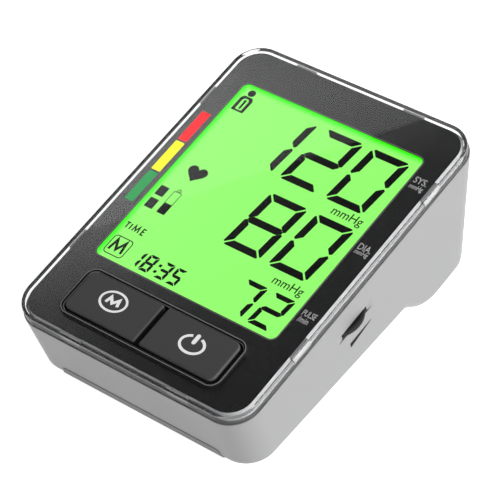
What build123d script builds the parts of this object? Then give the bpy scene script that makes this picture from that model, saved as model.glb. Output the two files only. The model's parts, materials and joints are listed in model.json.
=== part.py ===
from build123d import *
import os
from math import asin, atan, atan2, cos, degrees, hypot, pi, radians, sin, tan

# Upper arm blood pressure monitor. Everything is first built lying along its face: x runs across it
# (centred), y runs back from the front edge of the black face, and z = 0 is the underside of the clear
# cover, where the black mask is. The whole assembly is then tilted so that it stands on its feet.

# ------------------------------------------------------------------ face and clear cover
panel_width = 110.0          # black face, across
panel_length = 152.6         # black face, front to back
cover_margin = 2.6           # clear rim outside the black face
cover_corner = 12.4          # plan corner of the cover
cover_plate = 1.65           # thickness of the cover over the black face
cover_edge = 1.3             # rounding of the cover's top edge
skirt_depth = 3.6            # from the black face down to the seam with the case
skirt_wall = 1.4
mask_thickness = 0.2
window_width = 90.3
window_length = 100.0
window_corner = 2.8
window_gap = 5.9             # from the keys' well to the display window

# ------------------------------------------------------------------ grey case
case_margin = 3.0            # the case stands this far outside the black face at the seam
case_corner = 12.6           # plan corner of the case
case_wall = 2.2
side_draft = 2.6             # degrees
front_draft = 2.7
back_lean = 17.0
slab_depth = 34.0            # from the black face to the underside at the front
slab_slope = 0.10            # the underside falls away towards the back
hump_ramp = 46.4             # degrees, front of the battery hump
blend_start = 5.0            # arcs of the hump's side view
blend_front = 20.0
blend_back = 16.0
edge_round = 4.2             # how round the case's lower front corner is taken to be for its stance
foot_stand = 0.8             # how far the feet stand proud of the case
foot_cap = 0.25              # how much of each foot is flattened where it meets the table
beyond = 200.0               # reach of the blocks that only trim or bore
overlap = 0.2                # how far pieces of one body run into each other

# ------------------------------------------------------------------ clearances
slip = 0.3                   # between a moving piece and the opening it sits in
seat = 0.1                   # between fixed pieces that drop into one another
screw_play = 0.2             # radial, a screw in the hole it passes through
running = 0.08               # radial, a shaft or pin in its bore
thread_gap = 0.02            # radial, a screw in its pilot hole

# ------------------------------------------------------------------ keys
key_width = 36.2
key_length = 19.4
key_gap = 2.4
key_corner = 2.8
key_inner_corner = 0.6       # at the gap between the keys
key_round = 0.7
key_height = 3.0             # top of a key above the black face
key_travel = 0.8
key_wall = 1.3
key_centre = 17.8            # y of the keys
well_border_x = 2.7          # from the keys to the rim of their well
well_border_y = 2.3
well_wall = 1.2
well_rim = 0.35              # the rim stands this far above the cover
well_floor = 3.2             # depth of the well's floor below the black face
well_flange = 1.2
well_rim_round = 0.25
key_roof = 1.6               # thickness of a key's top
key_skirt_gap = 0.25         # between a pressed key's lower edge and the well's floor
guide_lift = 0.4             # the guide pins end this far above the plunger's tip
guide_offset = 12.0
guide_radius = 1.4
plunger_radius = 2.0
button_engagement = 0.3      # how deep a switch's button sits in its can with the key up

# ------------------------------------------------------------------ display stack and circuit board
glass_border_x = 2.4         # from the window's edge to the edge of the glass
glass_border_y = 3.0
glass_corner = 0.6
glass_top = 0.8              # depth of the glass below the black face
glass_thickness = 2.2
backlight_thickness = 3.0
contact_ledge = 4.6          # free ledge of the glass where the contact strip presses
holder_wall = 1.5
holder_floor = 1.8
holder_corner = 1.5
frame_plate = 2.2
frame_lip_gap = 0.25         # between the frame's lip and the case
frame_lip_wall = 1.6
frame_lip_low = -8.0
tab_x = 27.0                 # snap tabs of the frame, along the front and back
tab_rows = (38.0, 123.0)     # y of the snap tabs on the sides
tab_half = 5.0
tab_root = 4.0
backlight_inset = 1.0
contact_inset_x = 8.0        # from the ends of the glass to the contact strip
contact_half = 1.2
board_depth = 10.0           # from the black face to the board's upper side
board_thickness = 1.6
board_width = 92.0
board_front = 4.0
board_back = 126.0
board_post_x = 40.0
board_post_front = 8.0       # from the ends of the glass to the board's screws
board_post_back = 16.0
board_notch = 0.6            # round the case's screw posts
chip_x = (-7.0, 7.0)
chip_y = (38.0, 52.0)
chip_height = 1.6
driver_x = (2.0, 8.0)
driver_y = (100.0, 105.0)
driver_height = 1.5
switch_size = 6.0
switch_height = 3.5
switch_button_radius = 1.7

# ------------------------------------------------------------------ volume wheel
wheel_radius = 11.0
wheel_thickness = 2.6
wheel_teeth = 72
wheel_tooth = 0.35
wheel_stand = 2.2            # how far the wheel stands out of the side wall
wheel_y = 66.4
wheel_depth = 16.5
wheel_slot_gap = 0.4
scoop_half_length = 11.5
scoop_depth = 1.0
wheel_rim_gap = 0.5          # radial, round the wheel
wheel_room = 4.0             # half width of the board's tongue that carries the volume control
spindle_radius = 1.5
pot_inset = 5.0              # the control's body is this much smaller than the wheel, all round
pot_height = 2.8
pot_roof = 0.4
spindle_end_gap = 0.3
wheel_web = 0.4              # the spindle ends this far above the wheel's lower face

# ------------------------------------------------------------------ pump, valve and air way
pump_gap = 5.9               # from the pump to the battery bay's wall
pump_depth = 25.5
pump_left = -21.0            # x of the pump head's outer face
head_length = 24.0
head_radius = 12.5
motor_length = 30.0
motor_radius = 12.0
motor_wall = 1.2
motor_end = 2.0              # thickness of the motor's ends
magnet_thickness = 1.6
magnet_inset = 5.0           # from the motor's ends
magnet_split = 2.0           # half the gap between the two magnets
rotor_inset = 6.0
rotor_gap = 0.8              # radial, rotor inside the magnets
head_wall = 5.0              # outer end of the pump head
shaft_start = 8.0            # from the pump head's outer face
shaft_tail = 2.0             # the shaft stands this far out of the motor
eccentric_start = 9.0
eccentric_length = 5.0
eccentric_play = 0.8
cushion_inset = 4.0          # from the motor's ends
cushion_half = 9.0
cushion_drop = 4.0           # from the motor's axis to the cushion's upper edge
pump_shaft_radius = 1.0
eccentric_radius = 5.0
eccentric_offset = 1.2
tube_radius = 2.5
tube_bore = 1.25
tube_bend = 7.0
barb_radius = 1.2
barb_length = 2.0
air_passage = 0.7
air_x = -35.0                # the manifold, sensor and valve share this x
air_y = 60.0
air_depth = 24.0
manifold_size = 8.0
sensor_size = 8.0
sensor_height = 4.0
valve_front = 22.0
valve_back = 46.0
valve_size = 16.0
valve_core_radius = 3.0
valve_core_length = 14.0
valve_travel = 0.8
valve_end = 3.0              # from the valve's front face to its core
valve_play = 1.0             # in front of the core, and behind it at full travel
valve_seat_half = 6.0
valve_seat_inset = 4.0
port_radius = 2.5            # bore that takes the cuff's air plug
port_length = 10.0
port_body_radius = 5.0
port_collar_radius = 6.5
port_collar = 1.3
port_inner_end = -45.0
port_stand = 0.5             # the collar stands this far out of the wall
port_nut_radius = 7.0
port_nut_gap = 0.6
port_nut = 1.4

# ------------------------------------------------------------------ power socket and loudspeaker
socket_y = 38.0
socket_depth = 22.0
socket_width = 9.0
socket_height = 3.2
socket_wall = 0.35
socket_cavity = 6.2
socket_tongue_width = 6.6
socket_tongue = 0.7
socket_length = 9.0
socket_stand = 0.2           # below the wall's face
socket_block = 3.0
socket_block_half = 6.0
socket_block_height = 3.5
speaker_x = 20.0
speaker_y = 32.0
speaker_radius = 14.0
speaker_height = 4.0
magnet_radius = 7.0
magnet_height = 3.0
basket_wall = 1.5
basket_roof = 1.0
cone_inset = 2.0
cone_drop = 1.6
cone_sheet = 0.5
cone_lift = 0.4
speaker_ring_wall = 1.2
speaker_ring_height = 3.0
grille_hole = 0.8
grille_pitch = 3.4
grille_rings = 3

# ------------------------------------------------------------------ batteries and their door
cell_radius = 7.2
cell_length = 49.2
nub_radius = 2.6
nub_length = 1.3
cell_gap = 0.6               # between the two rows
cell_headroom = 0.2          # above the cells
cell_back_gap = 5.368         # from the back row to the back wall
cell_ramp_gap = 2.2386         # from the front row to the hump's ramp
door_room = 1.6              # between the cells and the door
bay_gap = 5.3                # in front of the front row
bay_ceiling = 37.6
bay_wall = 1.6
contact_plate = 0.4
contact_side = 9.0
contact_inset = 1.3          # from the bay's end wall, so that the plates clear its draft and corners
spring_bow = 1.9
spring_foot = 0.5
spring_sheet = 0.35
spring_half = 4.0
door_half_width = 47.2
door_overlap = 1.9           # the door runs this far behind the back row
door_angle_from = 125.0      # where the hinge sits on the hump's front arc, degrees from its centre
hinge_radius = 1.3
hinge_pin = 1.0
hinge_pin_length = 2.6
hinge_boss = 2.4
hinge_boss_length = 4.0
latch_half_width = 6.0
latch_thickness = 1.2
latch_height = 6.0
latch_inset = 0.4            # from the door's back edge

# ------------------------------------------------------------------ fasteners and feet
screw_radius = 1.3
screw_head_radius = 2.6
screw_head = 1.8
screw_sink = 0.6             # the heads lie this far under the case's surface
screw_tip = 4.5              # how far a screw runs past the foot of its post
cross_half = 1.6             # cross slot of a screw
cross_width = 0.3
cross_depth = 0.9
pilot_roof = 0.6
board_pilot = 1.2
board_screw_tip = 0.8
boss_radius = 3.4
front_screw = (45.0, 9.0)
middle_screw_x = 52.2
middle_screw_gap = 5.0       # in front of the hump
post_radius = 2.6
screw_post_end = 9.5         # depth where the frame's posts meet the case's bosses
board_screw_radius = 0.95
board_screw_head_radius = 1.9
board_screw_head = 1.4
front_foot_width = 84.0
front_foot_depth = 12.0      # how far the strip runs under the case
front_foot_height = 5.0      # how far it comes up the front wall
front_foot_corner = 2.4
rear_foot_x = 50.2
rear_foot_width = 3.6
rear_foot_length = 18.0
rear_foot_gap = 21.0         # behind the start of the hump

# ------------------------------------------------------------------ derived places
seam = -skirt_depth
case_length = panel_length + 2 * cover_margin
slab_angle = atan(slab_slope)
window_centre = key_centre + key_length / 2 + well_border_y + window_gap + window_length / 2
cell_pitch = 2 * cell_radius + cell_gap
cell_depth = bay_ceiling + cell_headroom + cell_radius
hump_depth = cell_depth + cell_radius + door_room + case_wall
back_lean_angle = radians(back_lean)
back_wall_y = panel_length + case_margin - (cell_depth - skirt_depth) * tan(back_lean_angle)
back_row = back_wall_y - (case_wall + cell_radius + cell_back_gap) / cos(back_lean_angle)
cell_row = back_row - cell_pitch
ramp_reach = case_wall + cell_radius + cell_ramp_gap
ramp_sine = sin(radians(hump_ramp))
ramp_cosine = cos(radians(hump_ramp))
hump_start = cell_row * ramp_sine + (slab_depth - cell_depth) * ramp_cosine - ramp_reach
hump_start = hump_start / (ramp_sine - slab_slope * ramp_cosine)
bay_front = cell_row - cell_radius - bay_gap
door_back = back_row + cell_radius + door_overlap
pump_y = bay_front - bay_wall - head_radius - pump_gap
middle_screw = (middle_screw_x, hump_start - middle_screw_gap)
rear_foot_y = hump_start + rear_foot_gap
underside_low = -hump_depth - 6.0    # the case is lofted down to here, past its lowest point
pot_radius = wheel_radius - pot_inset
rim_x = 2 * key_width + key_gap + 2 * well_border_x
rim_y = key_length + 2 * well_border_y
key_x = (key_width + key_gap) / 2
key_skirt = -well_floor + key_travel + key_skirt_gap
button_top = -board_depth + switch_height + key_travel + slip
button_length = key_travel + slip + button_engagement
glass_width = window_width + 2 * glass_border_x
glass_length = window_length + 2 * glass_border_y
glass_low = -glass_top - glass_thickness
glass_front = window_centre - glass_length / 2
glass_back = window_centre + glass_length / 2
holder_low = glass_low - seat - backlight_thickness - seat - holder_floor
board_low = -board_depth - board_thickness
wheel_low = -wheel_depth - wheel_thickness / 2
wall_x = panel_width / 2 + case_margin - (wheel_depth - skirt_depth) * tan(radians(side_draft))
wheel_x = wall_x + wheel_stand - wheel_radius
wheel_high = wheel_low + wheel_thickness
head_right = pump_left + head_length
motor_right = head_right + motor_length


# ------------------------------------------------------------------ small helpers
def span(x, y, z):
    """Box between three (low, high) pairs."""
    corner = Pos(x[0], y[0], z[0])
    return corner * Box(x[1] - x[0], y[1] - y[0], z[1] - z[0], align=(Align.MIN, Align.MIN, Align.MIN))


def plate(width, length, corner, low, high, x=0.0, y=0.0):
    """Rounded rectangle standing between two heights."""
    return Pos(x, y, low) * extrude(RectangleRounded(width, length, corner), amount=high - low)


def rod(radius, start, end):
    """Round bar from one point to another."""
    way = Vector(*end) - Vector(*start)
    return extrude(Plane(origin=start, z_dir=way) * Circle(radius), amount=way.length)


def meet(first, second):
    """Point where two lines cross; a line is (y, z, angle)."""
    y1, z1, a = first
    y2, z2, b = second
    step = ((y2 - y1) * sin(b) - (z2 - z1) * cos(b)) / sin(b - a)
    return (y1 + step * cos(a), z1 + step * sin(a))


def moved_in(line, inset):
    """The line shifted to its left, which is into the case."""
    y, z, angle = line
    return (y - sin(angle) * inset, z + cos(angle) * inset, angle)


def on_both_sides(shape):
    return [shape, mirror(shape, about=Plane.YZ)]


# ------------------------------------------------------------------ the case's form
def case_outline(height, inset):
    """Plan section of the case, which leans in on every side as it goes down."""
    drop = seam - height
    width = panel_width + 2 * (case_margin - drop * tan(radians(side_draft)) - inset)
    front = -case_margin + drop * tan(radians(front_draft)) + inset
    back = panel_length + case_margin - drop * tan(radians(back_lean)) - inset
    return Pos(0, (front + back) / 2, height) * RectangleRounded(width, back - front, case_corner - inset)


def underside_lines(inset):
    """Floor, ramp, hump bottom and back wall in the side view, each moved in by the inset."""
    floor = (0.0, -slab_depth, -slab_angle)
    ramp = (hump_start, -slab_depth - slab_slope * hump_start, -radians(hump_ramp))
    bottom = (0.0, -hump_depth, 0.0)
    lines = [moved_in(line, inset) for line in (floor, ramp, bottom)]
    back = (panel_length + case_margin - inset, seam, pi / 2 - radians(back_lean))
    return lines + [back]


def side_view(inset, top):
    """Closed side view of the case above its underside."""
    floor, ramp, bottom, back = underside_lines(inset)
    far = -beyond
    start = meet(floor, (far, 0.0, pi / 2))
    end = meet(back, (0.0, top, 0.0))
    radii = [blend_start + inset, blend_front - inset, blend_back - inset]
    corners = (meet(floor, ramp), meet(ramp, bottom), meet(bottom, back))
    under = FilletPolyline(start, *corners, end, radius=radii)
    over = Polyline(end, (far, top), start)
    return Plane.YZ * make_face(under.edges() + over.edges())


def case_volume(inset, top=seam):
    """Solid form of the case, moved in by the inset and cut off level at the top."""
    plan = loft([case_outline(top, inset), case_outline(underside_low, inset)], ruled=True)
    return extrude(side_view(inset, top), amount=beyond, both=True) & plan


def floor_height(y, inset=0.0):
    """Height of the slab's underside, or of its inner face, at y."""
    return -slab_depth - slab_slope * y + inset / cos(slab_angle)


# ------------------------------------------------------------------ how it stands
slab_line, ramp_line, hump_line, back_line = underside_lines(0)
front_arc = meet(moved_in(ramp_line, blend_front), moved_in(hump_line, blend_front))
back_arc = meet(moved_in(hump_line, blend_back), moved_in(back_line, blend_back))
front_wall = (-case_margin, seam, -pi / 2 + radians(front_draft))
toe = meet(moved_in(front_wall, edge_round), moved_in(slab_line, edge_round))
reach = (front_arc[0] - toe[0], front_arc[1] - toe[1])
rest_tilt = asin((blend_front - edge_round) / hypot(*reach)) - atan2(reach[1], reach[0])
ground_up = (0.0, sin(rest_tilt), cos(rest_tilt))
ground = toe[0] * ground_up[1] + toe[1] * ground_up[2] - edge_round - foot_stand


def below_ground():
    """Everything under the table's surface."""
    origin = (0, ground * ground_up[1], ground * ground_up[2])
    plane = Plane(origin=origin, x_dir=(1, 0, 0), z_dir=ground_up)
    return plane * Box(2 * beyond, 2 * beyond, beyond, align=(Align.CENTER, Align.CENTER, Align.MAX))


# ------------------------------------------------------------------ the door's place on the hump
door_turn = radians(-door_angle_from)
hinge_way = (cos(door_turn), sin(door_turn))
hinge_y = front_arc[0] + (blend_front - hinge_radius) * hinge_way[0]
hinge_z = front_arc[1] + (blend_front - hinge_radius) * hinge_way[1]


def door_space(gap):
    """The stretch of shell behind the hinge that the door fills, grown by the gap."""
    half = door_half_width + gap
    wedge = Plane(origin=(0, hinge_y, hinge_z), x_dir=(1, 0, 0), z_dir=(0, *hinge_way))
    behind = wedge * span((-half, half), (-beyond, 0), (-2 * blend_front, blend_front))
    reach_back = span((-half, half), (bay_front, door_back + gap), (underside_low, -cell_depth))
    barrel = rod(hinge_radius + gap, (-half, hinge_y, hinge_z), (half, hinge_y, hinge_z))
    return (behind & reach_back) + barrel


# ------------------------------------------------------------------ case pieces
def grille():
    """Sound holes under the loudspeaker, in rings round a middle one."""
    holes = [(0.0, 0.0)]
    for ring in range(1, grille_rings + 1):
        for step in range(6 * ring):
            turn = 2 * pi * step / (6 * ring)
            holes.append((ring * grille_pitch * cos(turn), ring * grille_pitch * sin(turn)))
    places = [speaker_seat * Pos(x, y, 0) for x, y in holes]
    return [place * Cylinder(grille_hole, 4 * case_wall) for place in places]


def case_screw_places():
    return [(side * x, y) for x, y in (front_screw, middle_screw) for side in (-1, 1)]


def battery_walls(inner):
    """The case's hollow, without the walls that box in the batteries."""
    across = (-beyond, beyond)
    boxed = span(across, (bay_front - bay_wall, beyond), (underside_low, -bay_ceiling + bay_wall))
    bay = span(across, (bay_front, beyond), (underside_low, -bay_ceiling))
    return (inner - boxed) + (inner & bay)


def valve_saddle():
    """Block on the case's floor that carries the valve."""
    across = (air_x - valve_seat_half, air_x + valve_seat_half)
    along = (valve_front + valve_seat_inset, valve_back - valve_seat_inset)
    return span(across, along, (underside_low, -air_depth - valve_size / 2))


def speaker_ring():
    """Raised ring that the loudspeaker drops into."""
    stand = (Align.CENTER, Align.CENTER, Align.MIN)
    ring = Cylinder(speaker_radius + seat + speaker_ring_wall, speaker_ring_height, align=stand)
    return speaker_seat * (ring - Cylinder(speaker_radius + seat, speaker_ring_height, align=stand))


def wheel_opening():
    """Slot for the volume wheel, with the shallow scoop in the wall round it."""
    low = wheel_low - wheel_slot_gap
    high = wheel_high + wheel_slot_gap
    slot = rod(wheel_radius + wheel_rim_gap, (wheel_x, wheel_y, low), (wheel_x, wheel_y, high))
    scoop_radius = (scoop_half_length ** 2 + scoop_depth ** 2) / (2 * scoop_depth)
    scoop_x = wall_x + scoop_radius - scoop_depth
    return slot + rod(scoop_radius, (scoop_x, wheel_y, low), (scoop_x, wheel_y, high))


def port_opening():
    """Hole for the air port, with a counterbore for its collar."""
    outside = (-beyond, air_y, -air_depth)
    hole = rod(port_body_radius + seat, outside, (port_inner_end, air_y, -air_depth))
    return hole + rod(port_collar_radius + seat, outside, (port_face + port_collar, air_y, -air_depth))


def make_bottom_case():
    outer = case_volume(0)
    inner = case_volume(case_wall, seam + 1)
    body = outer - battery_walls(inner)
    for x, y in case_screw_places():
        body += rod(boss_radius, (x, y, floor_height(y)), (x, y, -screw_post_end)) & outer
    body += valve_saddle() & inner
    body += speaker_ring()
    boss_start = door_half_width + slip
    boss_end = boss_start + hinge_boss_length
    for side in (-1, 1):
        cheek = rod(hinge_boss, (side * boss_start, hinge_y, hinge_z), (side * boss_end, hinge_y, hinge_z))
        body += cheek & outer
    body -= door_space(slip)
    pin_end = boss_start + hinge_pin_length + slip
    body -= rod(hinge_pin + running, (-pin_end, hinge_y, hinge_z), (pin_end, hinge_y, hinge_z))
    for x, y in case_screw_places():
        seat_z = floor_height(y) + screw_head + screw_sink
        body -= rod(screw_radius + screw_play, (x, y, -beyond), (x, y, 0))
        body -= rod(screw_head_radius + slip, (x, y, -beyond), (x, y, seat_z))
    for hole in grille():
        body -= hole
    return body - wheel_opening() - port_opening() - socket_shape(seat, -beyond, port_inner_end)


def wall_outside(height):
    """x of the left wall's outer face at a height."""
    return -(panel_width / 2 + case_margin - (seam - height) * tan(radians(side_draft)))


port_face = wall_outside(-air_depth) - port_stand
speaker_seat = Plane(
    origin=(speaker_x, speaker_y, floor_height(speaker_y, case_wall)),
    x_dir=(1, 0, 0),
    z_dir=(0, sin(slab_angle), cos(slab_angle)),
)


def make_clear_cover():
    middle = panel_length / 2
    outer = plate(panel_width + 2 * cover_margin, case_length, cover_corner, seam, cover_plate, y=middle)
    outer = fillet(outer.edges().group_by(Axis.Z)[-1], cover_edge)
    room = cover_margin - skirt_wall
    corner = cover_corner - skirt_wall
    hollow = plate(panel_width + 2 * room, panel_length + 2 * room, corner, seam, 0, y=middle)
    return outer - hollow - key_rim(seat, seam, beyond)


def key_rim(gap, low, high):
    corner = key_corner + well_border_y
    return plate(rim_x + 2 * gap, rim_y + 2 * gap, corner + gap, low, high, y=key_centre)


def make_face_mask():
    corner = cover_corner - cover_margin
    mask = plate(panel_width, panel_length, corner, -mask_thickness, 0, y=panel_length / 2)
    mask -= plate(window_width, window_length, window_corner, -mask_thickness, 0, y=window_centre)
    return mask - key_rim(seat, -mask_thickness, 0)


def make_key_well():
    """Tray that the two keys sit in, with a rim proud of the cover and guide holes in its floor."""
    low = -well_floor - well_wall
    tray = key_rim(0, low, cover_plate + well_rim)
    tray = fillet(tray.edges().group_by(Axis.Z)[-1], well_rim_round)
    flange_low = -mask_thickness - well_wall
    tray += key_rim(well_flange, flange_low, -mask_thickness)
    inner_x = rim_x - 2 * well_wall
    inner_y = rim_y - 2 * well_wall
    corner = key_corner + well_border_y - well_wall
    tray -= plate(inner_x, inner_y, corner, -well_floor, beyond, y=key_centre)
    for x, radius in key_stems():
        tray -= rod(radius + running, (x, key_centre, low), (x, key_centre, 0))
    return tray


def key_stems():
    """(x, radius) of the plunger and guide pins under both keys."""
    stems = []
    for side in (-1, 1):
        stems.append((side * key_x, plunger_radius))
        stems.append((side * key_x - guide_offset, guide_radius))
        stems.append((side * key_x + guide_offset, guide_radius))
    return stems


def make_key(side):
    x = side * key_x
    cap = plate(key_width, key_length, key_corner, key_skirt, key_height, x=x, y=key_centre)
    half = key_width / 2
    inner_x = x - side * half / 2
    cap += plate(half, key_length, key_inner_corner, key_skirt, key_height, x=inner_x, y=key_centre)
    cap = fillet(cap.edges().group_by(Axis.Z)[-1], key_round)
    roof = key_height - key_roof
    inner_width = key_width - 2 * key_wall
    inner_length = key_length - 2 * key_wall
    cap -= plate(inner_width, inner_length, key_corner - key_wall, key_skirt, roof, x=x, y=key_centre)
    root = roof + overlap
    cap += rod(plunger_radius, (x, key_centre, button_top), (x, key_centre, root))
    tip = button_top + guide_lift
    for guide_x in (x - guide_offset, x + guide_offset):
        cap += rod(guide_radius, (guide_x, key_centre, tip), (guide_x, key_centre, root))
    return cap


def make_switch(side):
    x = side * key_x
    half = switch_size / 2
    along = (key_centre - half, key_centre + half)
    can = span((x - half, x + half), along, (-board_depth, -board_depth + switch_height))
    floor = button_top - key_travel - button_length - seat
    return can - rod(switch_button_radius + running, (x, key_centre, floor), (x, key_centre, 0))


def make_switch_button(side):
    x = side * key_x
    return rod(switch_button_radius, (x, key_centre, button_top - button_length), (x, key_centre, button_top))


def make_top_frame():
    """Inner frame under the mask: it carries the display, the well and the screw posts."""
    plate_low = -mask_thickness - frame_plate
    corner = cover_corner - cover_margin
    frame = plate(panel_width, panel_length, corner, plate_low, -mask_thickness, y=panel_length / 2)
    lip_gap = case_wall + frame_lip_gap
    lip = case_volume(lip_gap, plate_low) - case_volume(lip_gap + frame_lip_wall, 0)
    frame += lip & span((-beyond, beyond), (-beyond, beyond), (frame_lip_low, plate_low))
    for tab in frame_tabs(cover_margin - skirt_wall - seat):
        frame += tab
    for x, y in case_screw_places():
        frame += rod(post_radius, (x, y, -screw_post_end), (x, y, plate_low))
        frame -= rod(screw_radius + thread_gap, (x, y, -screw_post_end), (x, y, plate_low - pilot_roof))
    return frame - glass_room(-board_depth) - key_rim(well_flange + seat, plate_low, 0)


def glass_room(low):
    """Space for the glass and what lies under it, down to a depth."""
    width = glass_width + 2 * seat
    length = glass_length + 2 * seat
    return plate(width, length, glass_corner + seat, low, 0, y=window_centre)


def frame_tabs(tab_reach):
    """Snap tabs that hold the cover's skirt, seen through the clear rim."""
    tabs = []
    height = (seam + slip, -mask_thickness)
    half = panel_width / 2
    for x in (-tab_x, tab_x):
        across = (x - tab_half, x + tab_half)
        tabs.append(span(across, (-tab_reach, tab_root), height))
        tabs.append(span(across, (panel_length - tab_root, panel_length + tab_reach), height))
    for y in tab_rows:
        along = (y - tab_half, y + tab_half)
        tabs.append(span((half - tab_root, half + tab_reach), along, height))
        tabs.append(span((-half - tab_reach, -half + tab_root), along, height))
    return tabs


# ------------------------------------------------------------------ display and electronics
def make_lcd_glass():
    return plate(glass_width, glass_length, glass_corner, glass_low, -glass_top, y=window_centre)


def make_backlight():
    low = glass_low - seat - backlight_thickness
    front = glass_front + contact_ledge
    back = glass_back - backlight_inset
    half = glass_width / 2 - backlight_inset
    return span((-half, half), (front, back), (low, glass_low - seat))


def board_screw_places():
    rows = (glass_front + board_post_front, glass_back - board_post_back)
    return [(x, y) for x in (-board_post_x, board_post_x) for y in rows]


def contact_space(gap):
    y = glass_front + contact_ledge / 2
    half = glass_width / 2 - contact_inset_x + gap
    wide = contact_half + gap
    return span((-half, half), (y - wide, y + wide), (-board_depth, glass_low))


def make_lcd_holder():
    top = -mask_thickness - frame_plate
    wide = glass_width + 2 * (seat + holder_wall)
    tall = glass_length + 2 * (seat + holder_wall)
    holder = plate(wide, tall, holder_corner, holder_low, top, y=window_centre)
    holder -= glass_room(holder_low + holder_floor)
    for x, y in board_screw_places():
        holder += rod(post_radius, (x, y, -board_depth), (x, y, holder_low + overlap))
        pilot_end = (x, y, holder_low + board_pilot)
        holder -= rod(board_screw_radius + thread_gap, (x, y, -board_depth), pilot_end)
    return holder - contact_space(seat)


def make_main_board():
    half = board_width / 2
    height = (board_low, -board_depth)
    board = span((-half, half), (board_front, board_back), height)
    for x, y in case_screw_places():
        board -= rod(boss_radius + board_notch, (x, y, board_low), (x, y, -board_depth))
    for x, y in board_screw_places():
        board -= rod(board_screw_radius + screw_play, (x, y, board_low), (x, y, -board_depth))
    tongue = span((0, wheel_x + wheel_room), (wheel_y - wheel_room, wheel_y + wheel_room), height)
    return board + tongue


def make_control_chip():
    return span(chip_x, chip_y, (board_low - chip_height, board_low))


def make_pump_driver():
    return span(driver_x, driver_y, (board_low - driver_height, board_low))


def make_pressure_sensor():
    half = sensor_size / 2
    low = board_low - sensor_height
    sensor = span((air_x - half, air_x + half), (air_y - half, air_y + half), (low, board_low))
    sensor += rod(barb_radius, (air_x, air_y, low - barb_length + seat), (air_x, air_y, low))
    return sensor - rod(air_passage, (air_x, air_y, -air_depth), (air_x, air_y, low + sensor_height / 2))


def make_pot():
    low = (wheel_x, wheel_y, board_low - pot_height)
    body = rod(pot_radius, low, (wheel_x, wheel_y, board_low))
    return body - rod(spindle_radius + running, low, (wheel_x, wheel_y, board_low - pot_roof))


def make_spindle():
    top = board_low - pot_roof - spindle_end_gap
    return rod(spindle_radius, (wheel_x, wheel_y, wheel_low + wheel_web), (wheel_x, wheel_y, top))


def make_wheel():
    """Thumb wheel with a finely notched edge."""
    rim = []
    for step in range(2 * wheel_teeth):
        radius = wheel_radius - wheel_tooth * (step % 2)
        turn = pi * step / wheel_teeth
        rim.append((wheel_x + radius * cos(turn), wheel_y + radius * sin(turn)))
    disc = Pos(0, 0, wheel_low) * extrude(make_face(Polyline(*rim, close=True)), amount=wheel_thickness)
    bore = rod(spindle_radius + thread_gap, (wheel_x, wheel_y, wheel_low), (wheel_x, wheel_y, wheel_high))
    return disc - bore


# ------------------------------------------------------------------ pump, valve and air way
def pump_rod(radius, x0, x1, z=-pump_depth):
    return rod(radius, (x0, pump_y, z), (x1, pump_y, z))


def make_pump_head():
    tip = pump_left - barb_length
    chamber = pump_left + head_wall
    head = pump_rod(head_radius, pump_left, head_right)
    head += pump_rod(barb_radius, tip, pump_left, -air_depth)
    head -= pump_rod(air_passage, tip, chamber, -air_depth)
    head -= pump_rod(eccentric_radius + eccentric_offset + eccentric_play, chamber, head_right - motor_end)
    return head - pump_rod(pump_shaft_radius + running, chamber, head_right)


def make_pump_motor():
    motor = pump_rod(motor_radius, head_right, motor_right)
    motor -= pump_rod(motor_radius - motor_wall, head_right + motor_end, motor_right - motor_end)
    return motor - pump_rod(pump_shaft_radius + running, head_right, motor_right)


def make_magnets():
    """Two curved magnets inside the motor's can."""
    outer = motor_radius - motor_wall
    start = head_right + magnet_inset
    end = motor_right - magnet_inset
    ring = pump_rod(outer, start, end) - pump_rod(outer - magnet_thickness, start, end)
    return ring - span((start, end), (pump_y - magnet_split, pump_y + magnet_split), (-beyond, 0))


def make_pump_rotor():
    rotor_radius = motor_radius - motor_wall - magnet_thickness - rotor_gap
    start = pump_left + eccentric_start
    shaft = pump_rod(pump_shaft_radius, pump_left + shaft_start, motor_right + shaft_tail)
    shaft += pump_rod(rotor_radius, head_right + rotor_inset, motor_right - rotor_inset)
    return shaft + pump_rod(eccentric_radius, start, start + eccentric_length, -pump_depth + eccentric_offset)


def make_pump_cushion():
    across = (head_right + cushion_inset, motor_right - cushion_inset)
    along = (pump_y - cushion_half, pump_y + cushion_half)
    cushion = span(across, along, (underside_low, -pump_depth - cushion_drop)) & case_volume(case_wall)
    return cushion - pump_rod(motor_radius + thread_gap, head_right, motor_right)


def make_valve_body():
    half = valve_size / 2
    z = -air_depth
    across = (air_x - half, air_x + half)
    body = span(across, (valve_front, valve_back), (z - half, z + half))
    tip = valve_back + barb_length
    body += rod(barb_radius, (air_x, valve_back, z), (air_x, tip, z))
    bore_start = valve_front + valve_end - valve_play
    bore_end = valve_front + valve_end + valve_core_length + valve_travel + valve_play
    body -= rod(valve_core_radius + running, (air_x, bore_start, z), (air_x, bore_end, z))
    return body - rod(air_passage, (air_x, bore_start, z), (air_x, tip, z))


def make_valve_core():
    start = valve_front + valve_end
    z = -air_depth
    return rod(valve_core_radius, (air_x, start, z), (air_x, start + valve_core_length, z))


def make_manifold():
    half = manifold_size / 2
    z = -air_depth
    body = span((air_x - half, air_x + half), (air_y - half, air_y + half), (z - half, z + half))
    reach_out = half + barb_length
    middle = Vector(air_x, air_y, z)
    ways = [Vector(-1, 0, 0), Vector(0, 1, 0), Vector(0, -1, 0), Vector(0, 0, 1)]
    for way in ways:
        body += rod(barb_radius, middle, middle + way * reach_out)
    for way in ways:
        body -= rod(air_passage, middle, middle + way * reach_out)
    return body


def make_tube(*points):
    """Air tube along straight runs joined by tangent arcs."""
    if len(points) > 2:
        path = FilletPolyline(*points, radius=tube_bend)
    else:
        path = Line(*points)
    way = Vector(*points[1]) - Vector(*points[0])
    ring = Plane(origin=points[0], z_dir=way) * (Circle(tube_radius) - Circle(tube_bore))
    return sweep(ring, path=path)


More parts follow.
